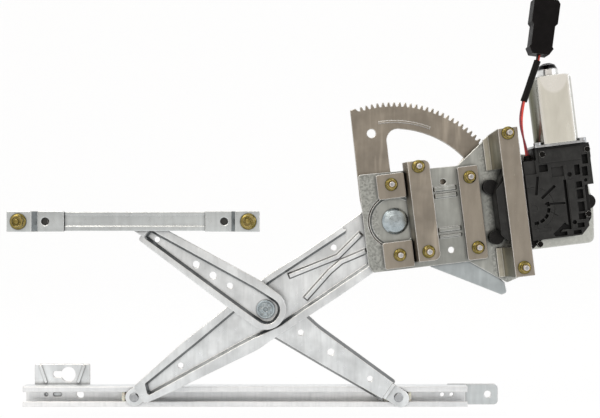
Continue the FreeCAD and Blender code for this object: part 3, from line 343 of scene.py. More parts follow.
def moulded(name, tone, roughness=0.48, grain=0.0007, gloss=0.2):
    """Glass-filled nylon as moulded: a fine matt grain, greyer where it is scuffed and dusty, with painted shade in
    the corners and a painted highlight along the proud edges.
    """
    made, tree, shader, place = blank(name)
    dust = patches(tree, place, 0.011, 5, rough=0.65)
    fleck = patches(tree, place, 0.0016, 5, rough=0.7)
    body = lay(tree, tone, shade(tone, 2.0), dust, 0.45, 0.78)
    body = lay(tree, body, shade(tone, 3.2), fleck, 0.60, 0.72, 0.5)
    # Painted shade in the corners and a painted highlight along the proud edges
    body = painted_shade_and_highlight(tree, body, tone, 0.007, 0.0005, 0.06, "#4a4a48")
    tree.links.new(body, shader.inputs["Base Color"])
    follow(tree, shader.inputs["Roughness"], dust, roughness - 0.08, roughness + 0.16, high=0.75)
    shader.inputs["Specular IOR Level"].default_value = gloss
    shader.inputs["IOR"].default_value = 1.53
    wear(tree, shader, place, 0.0005, 0.0002, grain, 0.45)
    return made


def satin_can(name, tone):
    """Drawn steel can with satin nickel: painted highlight and shade in bands round the corners, a painted highlight
    at the top of the face, and bare steel on the end boss.
    """
    made, tree, shader, place = blank(name)
    bright, grey, olive = linear("#fbfbf8"), shade(tone, 0.42), linear("#5d5c49")
    cloud = patches(tree, place, 0.016, 3, (1, 1, 2.5), turn=LEAN)
    body = lay(tree, shade(tone, 0.92), shade(tone, 1.04), cloud, 0.35, 0.7)
    axes = plate_axes(tree, place)
    # A painted highlight for the thumb-shaped dimple at the top of the face
    squeezed = add(tree, "ShaderNodeMath", {0: axes["Z"], 1: 0.8}, operation="MULTIPLY").outputs[0]
    spot = add(tree, "ShaderNodeCombineXYZ", {"X": axes["X"], "Z": squeezed}).outputs[0]
    thumb = add(tree, "ShaderNodeVectorMath", {0: spot, 1: (0.1845, 0, 0.0768)}, operation="DISTANCE")
    body = lay(tree, body, bright, thumb.outputs["Value"], 0.0165, 0.0140, 0.55)
    # Painted highlight and shade in bands from the left side of the can round to the right, by which way the rounded
    # corner faces
    soft = add(tree, "ShaderNodeBevel", {"Radius": 0.005}, samples=8)
    side = plate_axes(tree, soft.outputs[0], "NORMAL")["X"]
    for band, low, high in ((bright, -0.12, -0.38), (grey, -0.50, -0.74), (olive, -0.82, -0.97),
                            (bright, 0.12, 0.38), (shade(tone, 0.66), 0.62, 0.86)):
        body = lay(tree, body, band, side, low, high)
    # The boss above the can and its dark dome
    body = lay(tree, body, linear("#e6e6e4"), axes["Z"], 0.0962, 0.0968)
    body = lay(tree, body, linear("#1d1c1e"), axes["Z"], 0.1025, 0.1045)
    # Painted shade in the corners and a painted highlight along the proud edges
    tree.links.new(painted_shade_and_highlight(tree, body, tone, 0.004, 0.0008), shader.inputs["Base Color"])
    follow(tree, shader.inputs["Roughness"], cloud, 0.20, 0.30)
    shader.inputs["Metallic"].default_value = 1.0
    wear(tree, shader, place, 0.0022, 0.00008, 0.003, 0.2)
    return made


def soft_plastic(name, tone, roughness=0.4, grain=0.0009, gloss=0.5):
    """Extruded or shrunk plastic, such as wire insulation and heat-shrink sleeve."""
    made, tree, shader, place = blank(name)
    body = lay(tree, shade(tone, 0.78), shade(tone, 1.15), patches(tree, place, 0.006, 3), 0.35, 0.7)
    tree.links.new(body, shader.inputs["Base Color"])
    shader.inputs["Roughness"].default_value = roughness
    shader.inputs["IOR"].default_value = 1.52
    shader.inputs["Specular IOR Level"].default_value = gloss
    wear(tree, shader, place, 0.0002, 0.0002, grain, 0.3)
    return made


def acetal(name, tone):
    """Acetal as moulded: slightly translucent, smooth, greased where it slides."""
    made, tree, shader, place = blank(name)
    cloud = patches(tree, place, 0.008, 3)
    tree.links.new(lay(tree, tone, shade(tone, 0.84), cloud, 0.4, 0.7), shader.inputs["Base Color"])
    follow(tree, shader.inputs["Roughness"], cloud, 0.32, 0.5)
    shader.inputs["Subsurface Weight"].default_value = 0.12
    shader.inputs["Subsurface Scale"].default_value = 0.002
    wear(tree, shader, place, 0.0004, 0.0001, 0.0012, 0.2)
    return made


def core_steel(name, tone, sheet_gap, metallic, roughness):
    """Stacked laminations or pressed powder: faint lines across the stack."""
    made, tree, shader, place = blank(name)
    lines = patches(tree, place, sheet_gap, 2, (12, 12, 1), turn=LEAN)
    tree.links.new(lay(tree, shade(tone, 0.7), shade(tone, 1.2), lines, 0.4, 0.6), shader.inputs["Base Color"])
    shader.inputs["Metallic"].default_value = metallic
    shader.inputs["Roughness"].default_value = roughness
    wear(tree, shader, place, 0.0003, 0.0001, 0.0008, 0.3)
    return made


# Each finish: how it is made, its name, its colour as a hex value or one of the panel's, and its settings
ROLLED = {"stretch": (9, 1, 1), "streak_reflection": 0.1}
RAIL = {**ROLLED, "roughness": 0.32, "corner_shade": 0.05, "wall_shade": 0.55}
# Holes of the guide brackets, behind which painted shade lies on the guide rail
BRACKET_HOLES = ((-0.38065, -0.04069), (-0.18435, -0.04069))
FINISHES = {
    "arm_zinc": (pressed_zinc, "Bright zinc on pressed arms", "arm",
                 {"roughness": 0.33, "corner_shade": 0.12, "wall_shade": 0.8, "streak_reflection": 0.12}),
    "face_zinc": (pressed_zinc, "Rubbed zinc on straps and sector", "face", {}),
    "plate_zinc": (pressed_zinc, "Galvanised base plate", "#a6a8a3",
                   {"raised": (0.0105, 0.0075), "galvanised": True, "wall_shade": 0.5, "streak_reflection": 0.5}),
    "bridge_zinc": (pressed_zinc, "Rubbed zinc on the motor bridge", "#aeaa9c",
                    {"raised": (-0.0110, -0.0125), "wall_shade": 0.25, "streak_reflection": 0.5}),
    "rail_zinc": (pressed_zinc, "Bright zinc on rolled rails", "#cdd2d3", RAIL),
    "guide_zinc": (pressed_zinc, "Bright zinc on the guide rail", "#cdd2d3", {**RAIL, "hole_shade": BRACKET_HOLES}),
    "track_zinc": (pressed_zinc, "Bright zinc inside the glass rail", "#f6f9fb",
                   {**ROLLED, "roughness": 0.38, "corner_shade": 0.62, "metallic": 0.7}),
    "tab_zinc": (pressed_zinc, "Bright zinc on the glass rail's tab", "#d6dbdc",
                 {**ROLLED, "roughness": 0.38, "corner_shade": 0.2}),
    "gusset_zinc": (pressed_zinc, "Dull zinc on the gusset", "#b6bdbf",
                    {"roughness": 0.38, "wall_shade": 0.5, "streak_reflection": 0.3}),
    "disc_zinc": (turned_zinc, "Blue passivated zinc on the pivots", "#b4bec2", {"roughness": 0.26}),
    "pin_zinc": (turned_zinc, "Zinc on turned pins", "#b9bbbd", {"roughness": 0.32}),
    "black_oxide": (turned_zinc, "Black oxide on the cover screws", "#22211f", {"roughness": 0.6}),
    "copper": (turned_zinc, "Copper segments", "#c98a5e", {}),
    "yellow_zinc": (yellow_zinc, "Yellow zinc on fasteners", "yellow", {}),
    "thread_zinc": (threaded, "Zinc on stud threads", "#ece2db", {}),
    "gearbox_nylon": (moulded, "Black glass-filled nylon", "moulding", {}),
    "plug_nylon": (moulded, "Black connector nylon", "#0b0909", {"roughness": 0.42, "grain": 0.0005, "gloss": 0.08}),
    "lug_nylon": (moulded, "Blacker nylon of the housing", "#171615", {"roughness": 0.5, "gloss": 0.15}),
    "can_nickel": (satin_can, "Satin nickel on the motor can", "#e3e2d8", {}),
    "red_insulation": (soft_plastic, "Red wire insulation", "wire", {}),
    "dark_insulation": (soft_plastic, "Dark red wire insulation", "#7c2733", {"roughness": 0.42}),
    "black_insulation": (soft_plastic, "Black wire insulation", "#1d1a1a", {}),
    "shrink_sleeve": (soft_plastic, "Black heat-shrink sleeve", "#100e0d",
                      {"roughness": 0.55, "grain": 0.0014, "gloss": 0.1}),
    "acetal": (acetal, "Natural acetal sliders", "#e4e0d2", {}),
    "wheel_acetal": (acetal, "Acetal worm wheel", "#d8d2c0", {}),
    "ferrite": (core_steel, "Sintered ferrite magnets", "#3a3a3c",
                {"sheet_gap": 0.002, "metallic": 0.1, "roughness": 0.6}),
    "laminations": (core_steel, "Laminated core", "#8c8c90",
                    {"sheet_gap": 0.0007, "metallic": 1.0, "roughness": 0.4}),
}


def finish_of(name):
    """Each finish is made once and shared by its pieces."""
    maker, title, tone, settings = FINISHES[name]
    if title not in bpy.data.materials:
        maker(title, linear(tone) if tone.startswith("#") else colour(tone), **settings)
    return bpy.data.materials[title]


def coat(obj, name):
    """The piece's surface takes one finish all over."""
    obj.data.materials.clear()
    obj.data.materials.append(finish_of(name))


def coat_nodes(**finishes):
    """Each finish goes on the CAD nodes that are listed for it."""
    for finish, names in finishes.items():
        for name in names:
            coat(NODES[name], finish)


# Modelling by hand

def deselect():
    if bpy.context.object and bpy.context.object.mode != "OBJECT":
        bpy.ops.object.mode_set(mode="OBJECT")
    bpy.ops.object.select_all(action="DESELECT")


def pick(*objs):
    deselect()
    for obj in objs:
        obj.select_set(True)
    bpy.context.view_layer.objects.active = objs[0]
    return objs[0]


def cylinder(name, radius, low, high, vertices=48):
    """An upright cylinder on the origin's axis."""
    deselect()
    bpy.ops.mesh.primitive_cylinder_add(vertices=vertices, radius=radius, depth=high - low,
                                        location=(0, 0, (low + high) / 2))
    made = bpy.context.object
    made.name = name
    bpy.ops.object.transform_apply(location=True, rotation=True, scale=True)
    return made


def box(name, low, high):
    deselect()
    bpy.ops.mesh.primitive_cube_add(size=1, location=[(a + b) / 2 for a, b in zip(low, high)])
    made = bpy.context.object
    made.name = name
    made.scale = [b - a for a, b in zip(low, high)]
    bpy.ops.object.transform_apply(location=True, rotation=True, scale=True)
    return made


def on_top(normal):
    return normal.z > 0.9


def underneath(normal):
    return normal.z < -0.9


def choose(obj, wanted):
    """Goes into edit mode with only the faces chosen whose normal is wanted."""
    pick(obj)
    bpy.ops.object.mode_set(mode="EDIT")
    bpy.ops.mesh.select_mode(type="FACE")
    bpy.ops.mesh.select_all(action="DESELECT")
    mesh = bmesh.from_edit_mesh(obj.data)
    for f in mesh.faces:
        f.select = wanted(f.normal)
    mesh.select_flush_mode()
    bmesh.update_edit_mesh(obj.data)


def raise_faces(obj, wanted, steps):
    """Extrudes the chosen faces by each step: how far up, and how much wider or narrower."""
    choose(obj, wanted)
    for up, factor in steps:
        bpy.ops.mesh.extrude_region_move(TRANSFORM_OT_translate={"value": (0, 0, up)})
        if factor != 1:
            bpy.ops.transform.resize(value=(factor, factor, factor))
    bpy.ops.object.mode_set(mode="OBJECT")


def modify(obj, kind, **settings):
    pick(obj)
    made = obj.modifiers.new(kind.title(), kind)
    for key, value in settings.items():
        setattr(made, key, value)
    bpy.ops.object.modifier_apply(modifier=made.name)


def carve(obj, tool, operation="DIFFERENCE"):
    modify(obj, "BOOLEAN", object=tool, operation=operation, solver="EXACT")
    bpy.data.objects.remove(tool)
    return obj


def clean(obj):
    """Closes the slivers that a run of boolean cuts leaves behind."""
    reach = 0.00002
    pick(obj)
    bpy.ops.object.mode_set(mode="EDIT")
    bpy.ops.mesh.select_all(action="SELECT")
    bpy.ops.mesh.quads_convert_to_tris()
    bpy.ops.mesh.remove_doubles(threshold=reach)
    bpy.ops.mesh.dissolve_degenerate(threshold=reach)
    bpy.ops.mesh.select_all(action="DESELECT")
    bpy.ops.mesh.select_interior_faces()
    bpy.ops.mesh.delete(type="FACE")
    bpy.ops.object.mode_set(mode="OBJECT")


def join(name, *objs):
    pick(*objs)
    bpy.ops.object.join()
    bpy.context.object.name = name
    return bpy.context.object


def soften(obj, width, segments=2):
    modify(obj, "BEVEL", width=width, segments=segments, limit_method="ANGLE", angle_limit=math.radians(32),
           use_clamp_overlap=True)
    pick(obj)
    bpy.ops.object.shade_smooth_by_angle(angle=math.radians(35))


def put(obj, matrix):
    """Moves a piece and keeps its new place in its mesh."""
    pick(obj)
    obj.matrix_world = matrix
    bpy.ops.object.transform_apply(location=True, rotation=True, scale=True)
    return obj


def copy_at(obj, name, matrix):
    """A copy with a mesh of its own."""
    pick(obj)
    bpy.ops.object.duplicate(linked=False)
    bpy.context.object.name = name
    return put(bpy.context.object, matrix)


def facing_viewer(point, lean=0.0):
    """Turns a piece modelled up the Z axis so that it points at the viewer from a point."""
    return Matrix.Translation(point) @ Matrix.Rotation(lean, 4, "Y") @ Matrix.Rotation(math.pi / 2, 4, "X")


def between(low, high):
    """Turns a piece modelled up from the origin so that it runs from low towards high."""
    way = (high - low).normalized()
    return Matrix.Translation(low) @ way.to_track_quat("Z", "Y").to_matrix().to_4x4()


def hexagon(name, across, low, high, chamfer):
    """A hexagon with its outer corners turned off, as on any nut or bolt head."""
    reach, long = across / 2 / math.cos(math.pi / 6), high - low
    made = cylinder(name, reach, low, high, 6)
    deselect()
    bpy.ops.mesh.primitive_cone_add(vertices=64, radius1=reach + long * 1.7, radius2=across / 2 * 0.97,
                                    depth=long + chamfer, location=(0, 0, (low + high - chamfer) / 2))
    return carve(made, bpy.context.object, "INTERSECT")


class REGULATOR_OT_nuts(bpy.types.Operator):
    """Eight flange nuts on their studs"""
    bl_idname = "regulator.nuts"
    bl_label = "Door nuts and studs"

    def execute(self, context):
        s = sizes()
        rim, beyond, gap = 0.0008, 0.0045, 0.00002
        skirt = cylinder("skirt", s.nut_flange, 0.0, rim, 64)
        raise_faces(skirt, on_top, ((0.0006, 0.93), (0.0008, 0.80)))
        nut = carve(hexagon("nut", s.nut_across, rim, s.nut_high, 0.0006), skirt, "UNION")
        carve(nut, cylinder("bore", s.stud_radius + gap, -0.001, s.nut_high + 0.001))
        soften(nut, 0.00022)
        coat(nut, "yellow_zinc")
        stud = cylinder("stud", s.stud_radius, 0.0002, s.nut_high + beyond)
        raise_faces(stud, on_top, ((0.0006, 0.80),))
        soften(stud, 0.0002)
        coat(stud, "thread_zinc")
        for number, (u, w, face) in enumerate(STUDS, start=1):
            # Each nut stopped at a turn of its own
            place = facing_viewer(on_plate(u, w, face), math.radians(17 * number))
            made = copy_at(nut, "door_nut_%d" % number, place)
            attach(made, "root")
            if number == 1:
                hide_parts("door_nuts")
            tip = copy_at(stud, "stud_end_%d" % number, place)
            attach(tip, "root")
        bpy.data.objects.remove(nut)
        bpy.data.objects.remove(stud)
        coat_nodes(pin_zinc=["door_studs"])
        return {"FINISHED"}


class REGULATOR_OT_guide_bolts(bpy.types.Operator):
    """Two flange bolts that hold the guide rail"""
    bl_idname = "regulator.guide_bolts"
    bl_label = "Guide bolts"

    def execute(self, context):
        lo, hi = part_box("guide_bolts")
        head_high, rim, dish, point = 0.007, 0.0009, 0.0009, 0.001
        middle, flange = (lo.z + hi.z) / 2, (hi.z - lo.z) / 2
        face = lo.y + head_high
        skirt = cylinder("skirt", flange, 0.0, rim, 72)
        raise_faces(skirt, on_top, ((0.0006, 0.94), (0.0009, 0.80)))
        crown = hexagon("crown", sizes().bolt_across, rim, 0.0064, 0.0008)
        raise_faces(crown, on_top, ((0, 0.78), (-dish, 0.92)))
        pip = cylinder("pip", 0.0026, 0.0050, head_high, 32)
        head = join("head", crown, skirt)
        soften(head, 0.00025)
        soften(pip, 0.0005, 3)
        head = join("head", head, pip)
        coat(head, "yellow_zinc")
        shank = cylinder("shank", 0.004, face - hi.y + point, 0.0005, 40)
        raise_faces(shank, underneath, ((-point, 0.8),))
        coat(shank, "thread_zinc")
        for side, x in (("left", lo.x + flange), ("right", hi.x - flange)):
            place = facing_viewer(Vector((x, face, middle)), math.radians(12 if side == "left" else 40))
            made = copy_at(head, "guide_bolt_head_" + side, place)
            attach(made, "root")
            if side == "left":
                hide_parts("guide_bolts")
            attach(copy_at(shank, "guide_bolt_shank_" + side, place), "root")
        bpy.data.objects.remove(head)
        bpy.data.objects.remove(shank)
        return {"FINISHED"}


class REGULATOR_OT_sheet(bpy.types.Operator):
    """Finishes on the pressed sheet: base plate, straps, arms, sector and rails"""
    bl_idname = "regulator.sheet"
    bl_label = "Pressed sheet"

    def execute(self, context):
        coat_nodes(plate_zinc=["base_plate"], face_zinc=["strap_left", "sector_gear"], bridge_zinc=["motor_bridge"],
                   arm_zinc=["main_arm", "equalizer_upper", "equalizer_lower", "glass_bracket"],
                   gusset_zinc=["rear_gusset"], guide_zinc=["guide_rail"], track_zinc=["glass_rail"],
                   rail_zinc=["guide_bracket_left", "guide_bracket_right"], tab_zinc=["glass_tab"])
        return {"FINISHED"}


class REGULATOR_OT_pivots(bpy.types.Operator):
    """Finishes on the pivots, rivets, sliders and their studs"""
    bl_idname = "regulator.pivots"
    bl_label = "Pivots and sliders"

    def execute(self, context):
        coat_nodes(disc_zinc=["pivot_pin"], acetal=["slider_a", "slider_b", "slider_t"],
                   pin_zinc=["pivot_spacer", "sector_rivets", "centre_bush", "centre_washer", "stud_a", "stud_b",
                             "stud_t", "guide_weld_nuts"])
        return {"FINISHED"}


class REGULATOR_OT_centre(bpy.types.Operator):
    """Staked rivet at the crossing of the arms: a dished head with a ring, four staking marks and a centre hole"""
    bl_idname = "regulator.centre"
    bl_label = "Centre rivet"

    def execute(self, context):
        lo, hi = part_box("centre_rivet")
        middle, radius, deep = (lo + hi) / 2, (hi.x - lo.x) / 2, hi.y - lo.y
        head = cylinder("centre_rivet_head", radius * 0.86, 0.0, 0.0011, 96)
        raise_faces(head, on_top, ((0.0004, 0.95), (0, 0.86), (-0.0008, 0.96), (0, 0.9), (0.0006, 0.95)))
        for number in range(4):
            turn = Matrix.Rotation(math.pi * (0.25 + number / 2), 4, "Z")
            mark = cylinder("mark", 0.0016, -0.001, 0.004, 24)
            put(mark, turn @ Matrix.Translation((0.0052, 0, 0.00135)) @ Matrix.Diagonal((1.0, 1.7, 1.0, 1.0)))
            carve(head, mark)
        carve(head, cylinder("bore", 0.0026, -0.0006, 0.004, 40))
        shank = cylinder("centre_rivet_shank", 0.0059, -(deep - 0.004), 0.0)
        raise_faces(shank, underneath, ((0, 1.8), (-0.0012, 0.92)))
        soften(head, 0.00018)
        soften(shank, 0.0002)
        made = join("centre_rivet_staked", head, shank)
        coat(made, "disc_zinc")
        put(made, facing_viewer(Vector((middle.x, lo.y + 0.0022, middle.z))))
        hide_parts("centre_rivet")
        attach(made, "equalizer")
        return {"FINISHED"}


class REGULATOR_OT_cover(bpy.types.Operator):
    """Ribbed cover of the gearbox: a deck with cored-out pockets, the bar over the worm and the slotted hub"""
    bl_idname = "regulator.cover"
    bl_label = "Gearbox cover"

    # Millimetres: u and w of two corners on the leaning plate, and depths along Y
    BACK, PLATE, DECK, TOP, FLOOR = -9.2, -11.7, -15.1, -15.9, -9.9
    WING, BODY, HEAD = (110.5, -79.5, 215.5, 6.5), (143, -79.5, 215.5, 6.5), (157, 0, 215.5, 19.3)
    NOTCH = (205.4, -100, 230, -26)
    # Where the corners are cut off: a spot on the cut, and the way out
    CORNERS = (((110, -21), (-28, 17)), ((110, -69), (-12, -24)), ((205.6, -70.5), (8.7, -10.1)))
    POCKETS = ((206, -3.5, 212.5, 7), (204.5, -16.5, 210.8, -6.2), (196.5, -14.5, 202.6, -3.2),
               (196.5, -28.3, 203.2, -21.5), (196.2, -40.5, 203.2, -30.3), (196.0, -54.4, 203.2, -43.9),
               (195.2, -63.0, 203.2, -56.2), (168.0, -78.2, 181.0, -73.6), (176.5, -71.6, 184.0, -66.4),
               (187.5, -78.2, 196.5, -73.6), (192.5, -71.6, 200.5, -66.2), (158.5, -7.0, 168.3, 1.0))
    # Two corners and how deep below the deck
    RECESSES = ((171.5, -14.0, 184.5, -3.0, 1.6), (140.0, -8.5, 155.6, 8.0, 1.9), (150.0, -71.5, 164.0, -66.5, 0.5))
    RAISED = ((160.0, 2.4, 205.0, 17.0), (187.2, -71.0, 194.6, -19.0), (185.2, -22.0, 188.0, -2.4),
              (194.0, -30.0, 205.0, -28.6), (194.0, -43.4, 205.0, -41.8))
    # First and last point, width and depth
    GROOVES = (((156.2, -11.0), (152.2, -31.0), 3.0, 2.6), ((173.7, -23.0), (157.6, -35.2), 3.2, 3.0),
               ((160.1, -41.7), (182.6, -43.1), 2.4, 2.4), ((184.6, -17.9), (184.6, -72.3), 3.0, 4.6),
               ((166.5, -76.6), (181.0, -65.4), 4.4, 4.4),
               ((165.5, -50.5), (173.5, -56.5), 1.1, 0.7), ((149.5, -62.0), (150.0, -68.0), 1.1, 0.7))
    # Place, radius and depth
    HOLES = ((190.8, -12.9, 2.6, 3.0), (189.9, -64.9, 2.4, 3.0), (207.4, -21.0, 2.0, 3.0))
    # The hub's place, and the radii of its boss, its ring of slots and the faint line round them
    HUB, BOSS, SLOTS, LINE = (147.95, -45.0), 4.2, 16.4, (22.3, 23.1)

    def execute(self, context):
        made = self.slab(self.WING, self.PLATE, self.BACK)
        made.name = "gearbox_cover_ribbed"
        for part, front in ((self.HEAD, self.PLATE), (self.BODY, self.DECK), (self.HEAD, self.DECK)):
            carve(made, self.slab(part, front, self.BACK), "UNION")
        for rib in self.RAISED:
            carve(made, self.slab(rib, self.TOP, self.DECK + 1), "UNION")
        for spot, outward in self.CORNERS:
            self.trim(made, spot, outward)
        carve(made, self.slab(self.NOTCH, -20, 0))
        for pocket in self.POCKETS:
            carve(made, self.slab(pocket, -20, self.FLOOR))
        for *corners, deep in self.RECESSES:
            carve(made, self.slab(corners, -20, self.DECK + deep))
        for first, last, wide, deep in self.GROOVES:
            carve(made, self.groove(first, last, wide, deep))
        for u, w, radius, deep in self.HOLES:
            carve(made, self.post(u, w, radius, deep))
        for degrees in range(-86, 20, 24):
            carve(made, self.groove(self.round_hub(degrees - 9), self.round_hub(degrees + 9), 3.6, 4.2))
        line = self.post(*self.HUB, self.LINE[1], 0.5)
        carve(line, self.post(*self.HUB, self.LINE[0], 5.0))
        carve(made, line)
        carve(made, self.post(*self.HUB, self.BOSS, 0.5))
        clean(made)
        coat(made, "gearbox_nylon")
        put(made, Matrix.Rotation(-LEAN, 4, "Y"))
        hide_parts("gearbox_cover")
        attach(made, "root")
        return {"FINISHED"}

    def slab(self, corners, front, back):
        low_u, low_w, high_u, high_w = corners
        return box("slab", [v * MM for v in (low_u, front, low_w)], [v * MM for v in (high_u, back, high_w)])

    def post(self, u, w, radius, deep):
        """A round tool as deep as is said, measured from the deck."""
        made = cylinder("post", radius * MM, -deep * MM, 3 * MM, 64)
        return put(made, facing_viewer(Vector((u, self.DECK, w)) * MM))

    def round_hub(self, degrees):
        (u, w), a = self.HUB, math.radians(degrees)
        return u + self.SLOTS * math.cos(a), w + self.SLOTS * math.sin(a)

    def groove(self, first, last, wide, deep):
        """A straight tool from the first point to the last."""
        along = Vector((last[0] - first[0], 0, last[1] - first[1]))
        made = self.slab((0, -wide / 2, along.length, wide / 2), -3, deep)
        start = Matrix.Translation(Vector((first[0], self.DECK, first[1])) * MM)
        return put(made, start @ Matrix.Rotation(math.atan2(-along.z, along.x), 4, "Y"))

    def trim(self, made, spot, outward):
        pick(made)
        bpy.ops.object.mode_set(mode="EDIT")
        bpy.ops.mesh.select_all(action="SELECT")
        bpy.ops.mesh.bisect(plane_co=(spot[0] * MM, 0, spot[1] * MM), plane_no=(outward[0], 0, outward[1]),
                            use_fill=True, clear_outer=True)
        bpy.ops.object.mode_set(mode="OBJECT")


class REGULATOR_OT_gearbox(bpy.types.Operator):
    """Housing, drive and screws of the gearbox"""
    bl_idname = "regulator.gearbox"
    bl_label = "Gearbox"

    def execute(self, context):
        coat_nodes(lug_nylon=["gearbox_housing"], black_oxide=["cover_screws"], wheel_acetal=["worm_wheel"],
                   pin_zinc=["mount_screws", "can_screws", "output_pinion"])
        return {"FINISHED"}


class REGULATOR_OT_motor(bpy.types.Operator):
    """Motor can, its flange and what is inside it"""
    bl_idname = "regulator.motor"
    bl_label = "Motor"

    def execute(self, context):
        coat_nodes(can_nickel=["motor_can"], pin_zinc=["can_flange", "armature_shaft"], ferrite=["magnets"],
                   laminations=["armature_core"], plug_nylon=["brush_card"], copper=["commutator", "end_bearing"])
        return {"FINISHED"}


class REGULATOR_OT_connector(bpy.types.Operator):
    """The plug housing at the end of the lead"""
    bl_idname = "regulator.connector"
    bl_label = "Connector"

    def execute(self, context):
        coat_nodes(plug_nylon=["connector"])
        return {"FINISHED"}


class REGULATOR_OT_lead(bpy.types.Operator):
    """Two wires, the shrink sleeve, the tails and the grommet"""
    bl_idname = "regulator.lead"
    bl_label = "Lead"

    def execute(self, context):
        wide = sizes().wire_wide
        wires = [self.wire("lead_wire_red", wide, 0.0, "red_insulation"),
                 self.wire("lead_wire_dark", wide, math.pi, "dark_insulation")]
        sleeve = self.sleeve()
        tails = [self.tail("lead_tail_black", -1, wide, "black_insulation"),
                 self.tail("lead_tail_red", 1, wide, "red_insulation")]
        grommet = self.grommet()
        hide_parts("lead_wires")
        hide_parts("lead_tails")
        return {"FINISHED"}

    def offset(self, number, wide, phase):
        """How far a wire lies from the middle of the pair, which twists a little as it climbs."""
        angle = phase + math.radians(150 - 42 * number)
        return Vector((math.cos(angle), math.sin(angle), 0)) * wide * 0.48

    def start(self, wide, phase):
        return LEAD_ROUTE[0] + self.offset(0, wide, phase)

    def wire(self, name, wide, phase, finish):
        line = bpy.data.curves.new(name, "CURVE")
        line.dimensions = "3D"
        line.bevel_depth = wide / 2
        line.bevel_resolution = 6
        line.resolution_u = 16
        line.use_fill_caps = True
        spline = line.splines.new("NURBS")
        spline.points.add(len(LEAD_ROUTE) - 1)
        for number, point in enumerate(LEAD_ROUTE):
            spline.points[number].co = (*(point + self.offset(number, wide, phase)), 1)
        spline.order_u = 3
        spline.use_endpoint_u = True
        made = bpy.data.objects.new(name, line)
        bpy.context.scene.collection.objects.link(made)
        line.materials.append(finish_of(finish))
        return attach(made, "root")

    def sleeve(self):
        """Shrunk tight in its middle, with a loose mouth at each end that the wires come out of."""
        low, high = LEAD_ROUTE[-1], SLEEVE_END
        long = (high - low).length
        foot, mouth = 0.002, 0.004
        made = cylinder("lead_shrink_sleeve", 0.0036, 0.0, foot, 40)
        raise_faces(made, on_top, ((long * 0.12, 0.97), (long * 0.2, 0.985), (long * 0.2, 1.03), (long * 0.2, 0.985),
                                   (long * 0.16, 1.02), (long * 0.12 - foot, 1.03)))
        raise_faces(made, on_top, ((0, 0.78), (-mouth, 0.9)))
        raise_faces(made, underneath, ((0, 0.78), (mouth, 0.9)))
        soften(made, 0.00025)
        coat(made, "shrink_sleeve")
        put(made, between(low, high))
        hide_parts("lead_sleeve")
        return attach(made, "root")

    def tail(self, name, side, wide, finish):
        low, high = SLEEVE_END, TAIL_END
        way = (high - low).normalized()
        across = Vector((way.z, 0, -way.x)) * wide * 0.5 * side
        made = cylinder(name, wide / 2, -0.004, (high - low).length + 0.002, 28)
        raise_faces(made, on_top, ((0.0005, 0.9),))
        soften(made, 0.0001)
        coat(made, finish)
        put(made, between(low + across, high + across))
        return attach(made, "root")

    def grommet(self):
        """A tapered rubber grommet with two ribs round it."""
        low, high = LEAD_FOOT, LEAD_ROUTE[0]
        long = (high - low).length
        made = cylinder("lead_rubber_grommet", 0.0046, 0.0, long * 0.18, 40)
        # Shares of the length, and how the radius changes: foot, neck, rib, neck, rib, neck, tip
        steps = ((0.05, 0.84), (0.12, 1), (0.03, 1.14), (0.12, 1), (0.04, 0.82), (0.15, 1), (0.03, 1.12), (0.10, 1),
                 (0.08, 0.8), (0.10, 0.97))
        raise_faces(made, on_top, [(long * share, factor) for share, factor in steps])
        soften(made, 0.00015)
        coat(made, "shrink_sleeve")
        put(made, between(low, high))
        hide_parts("lead_grommet")
        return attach(made, "root")


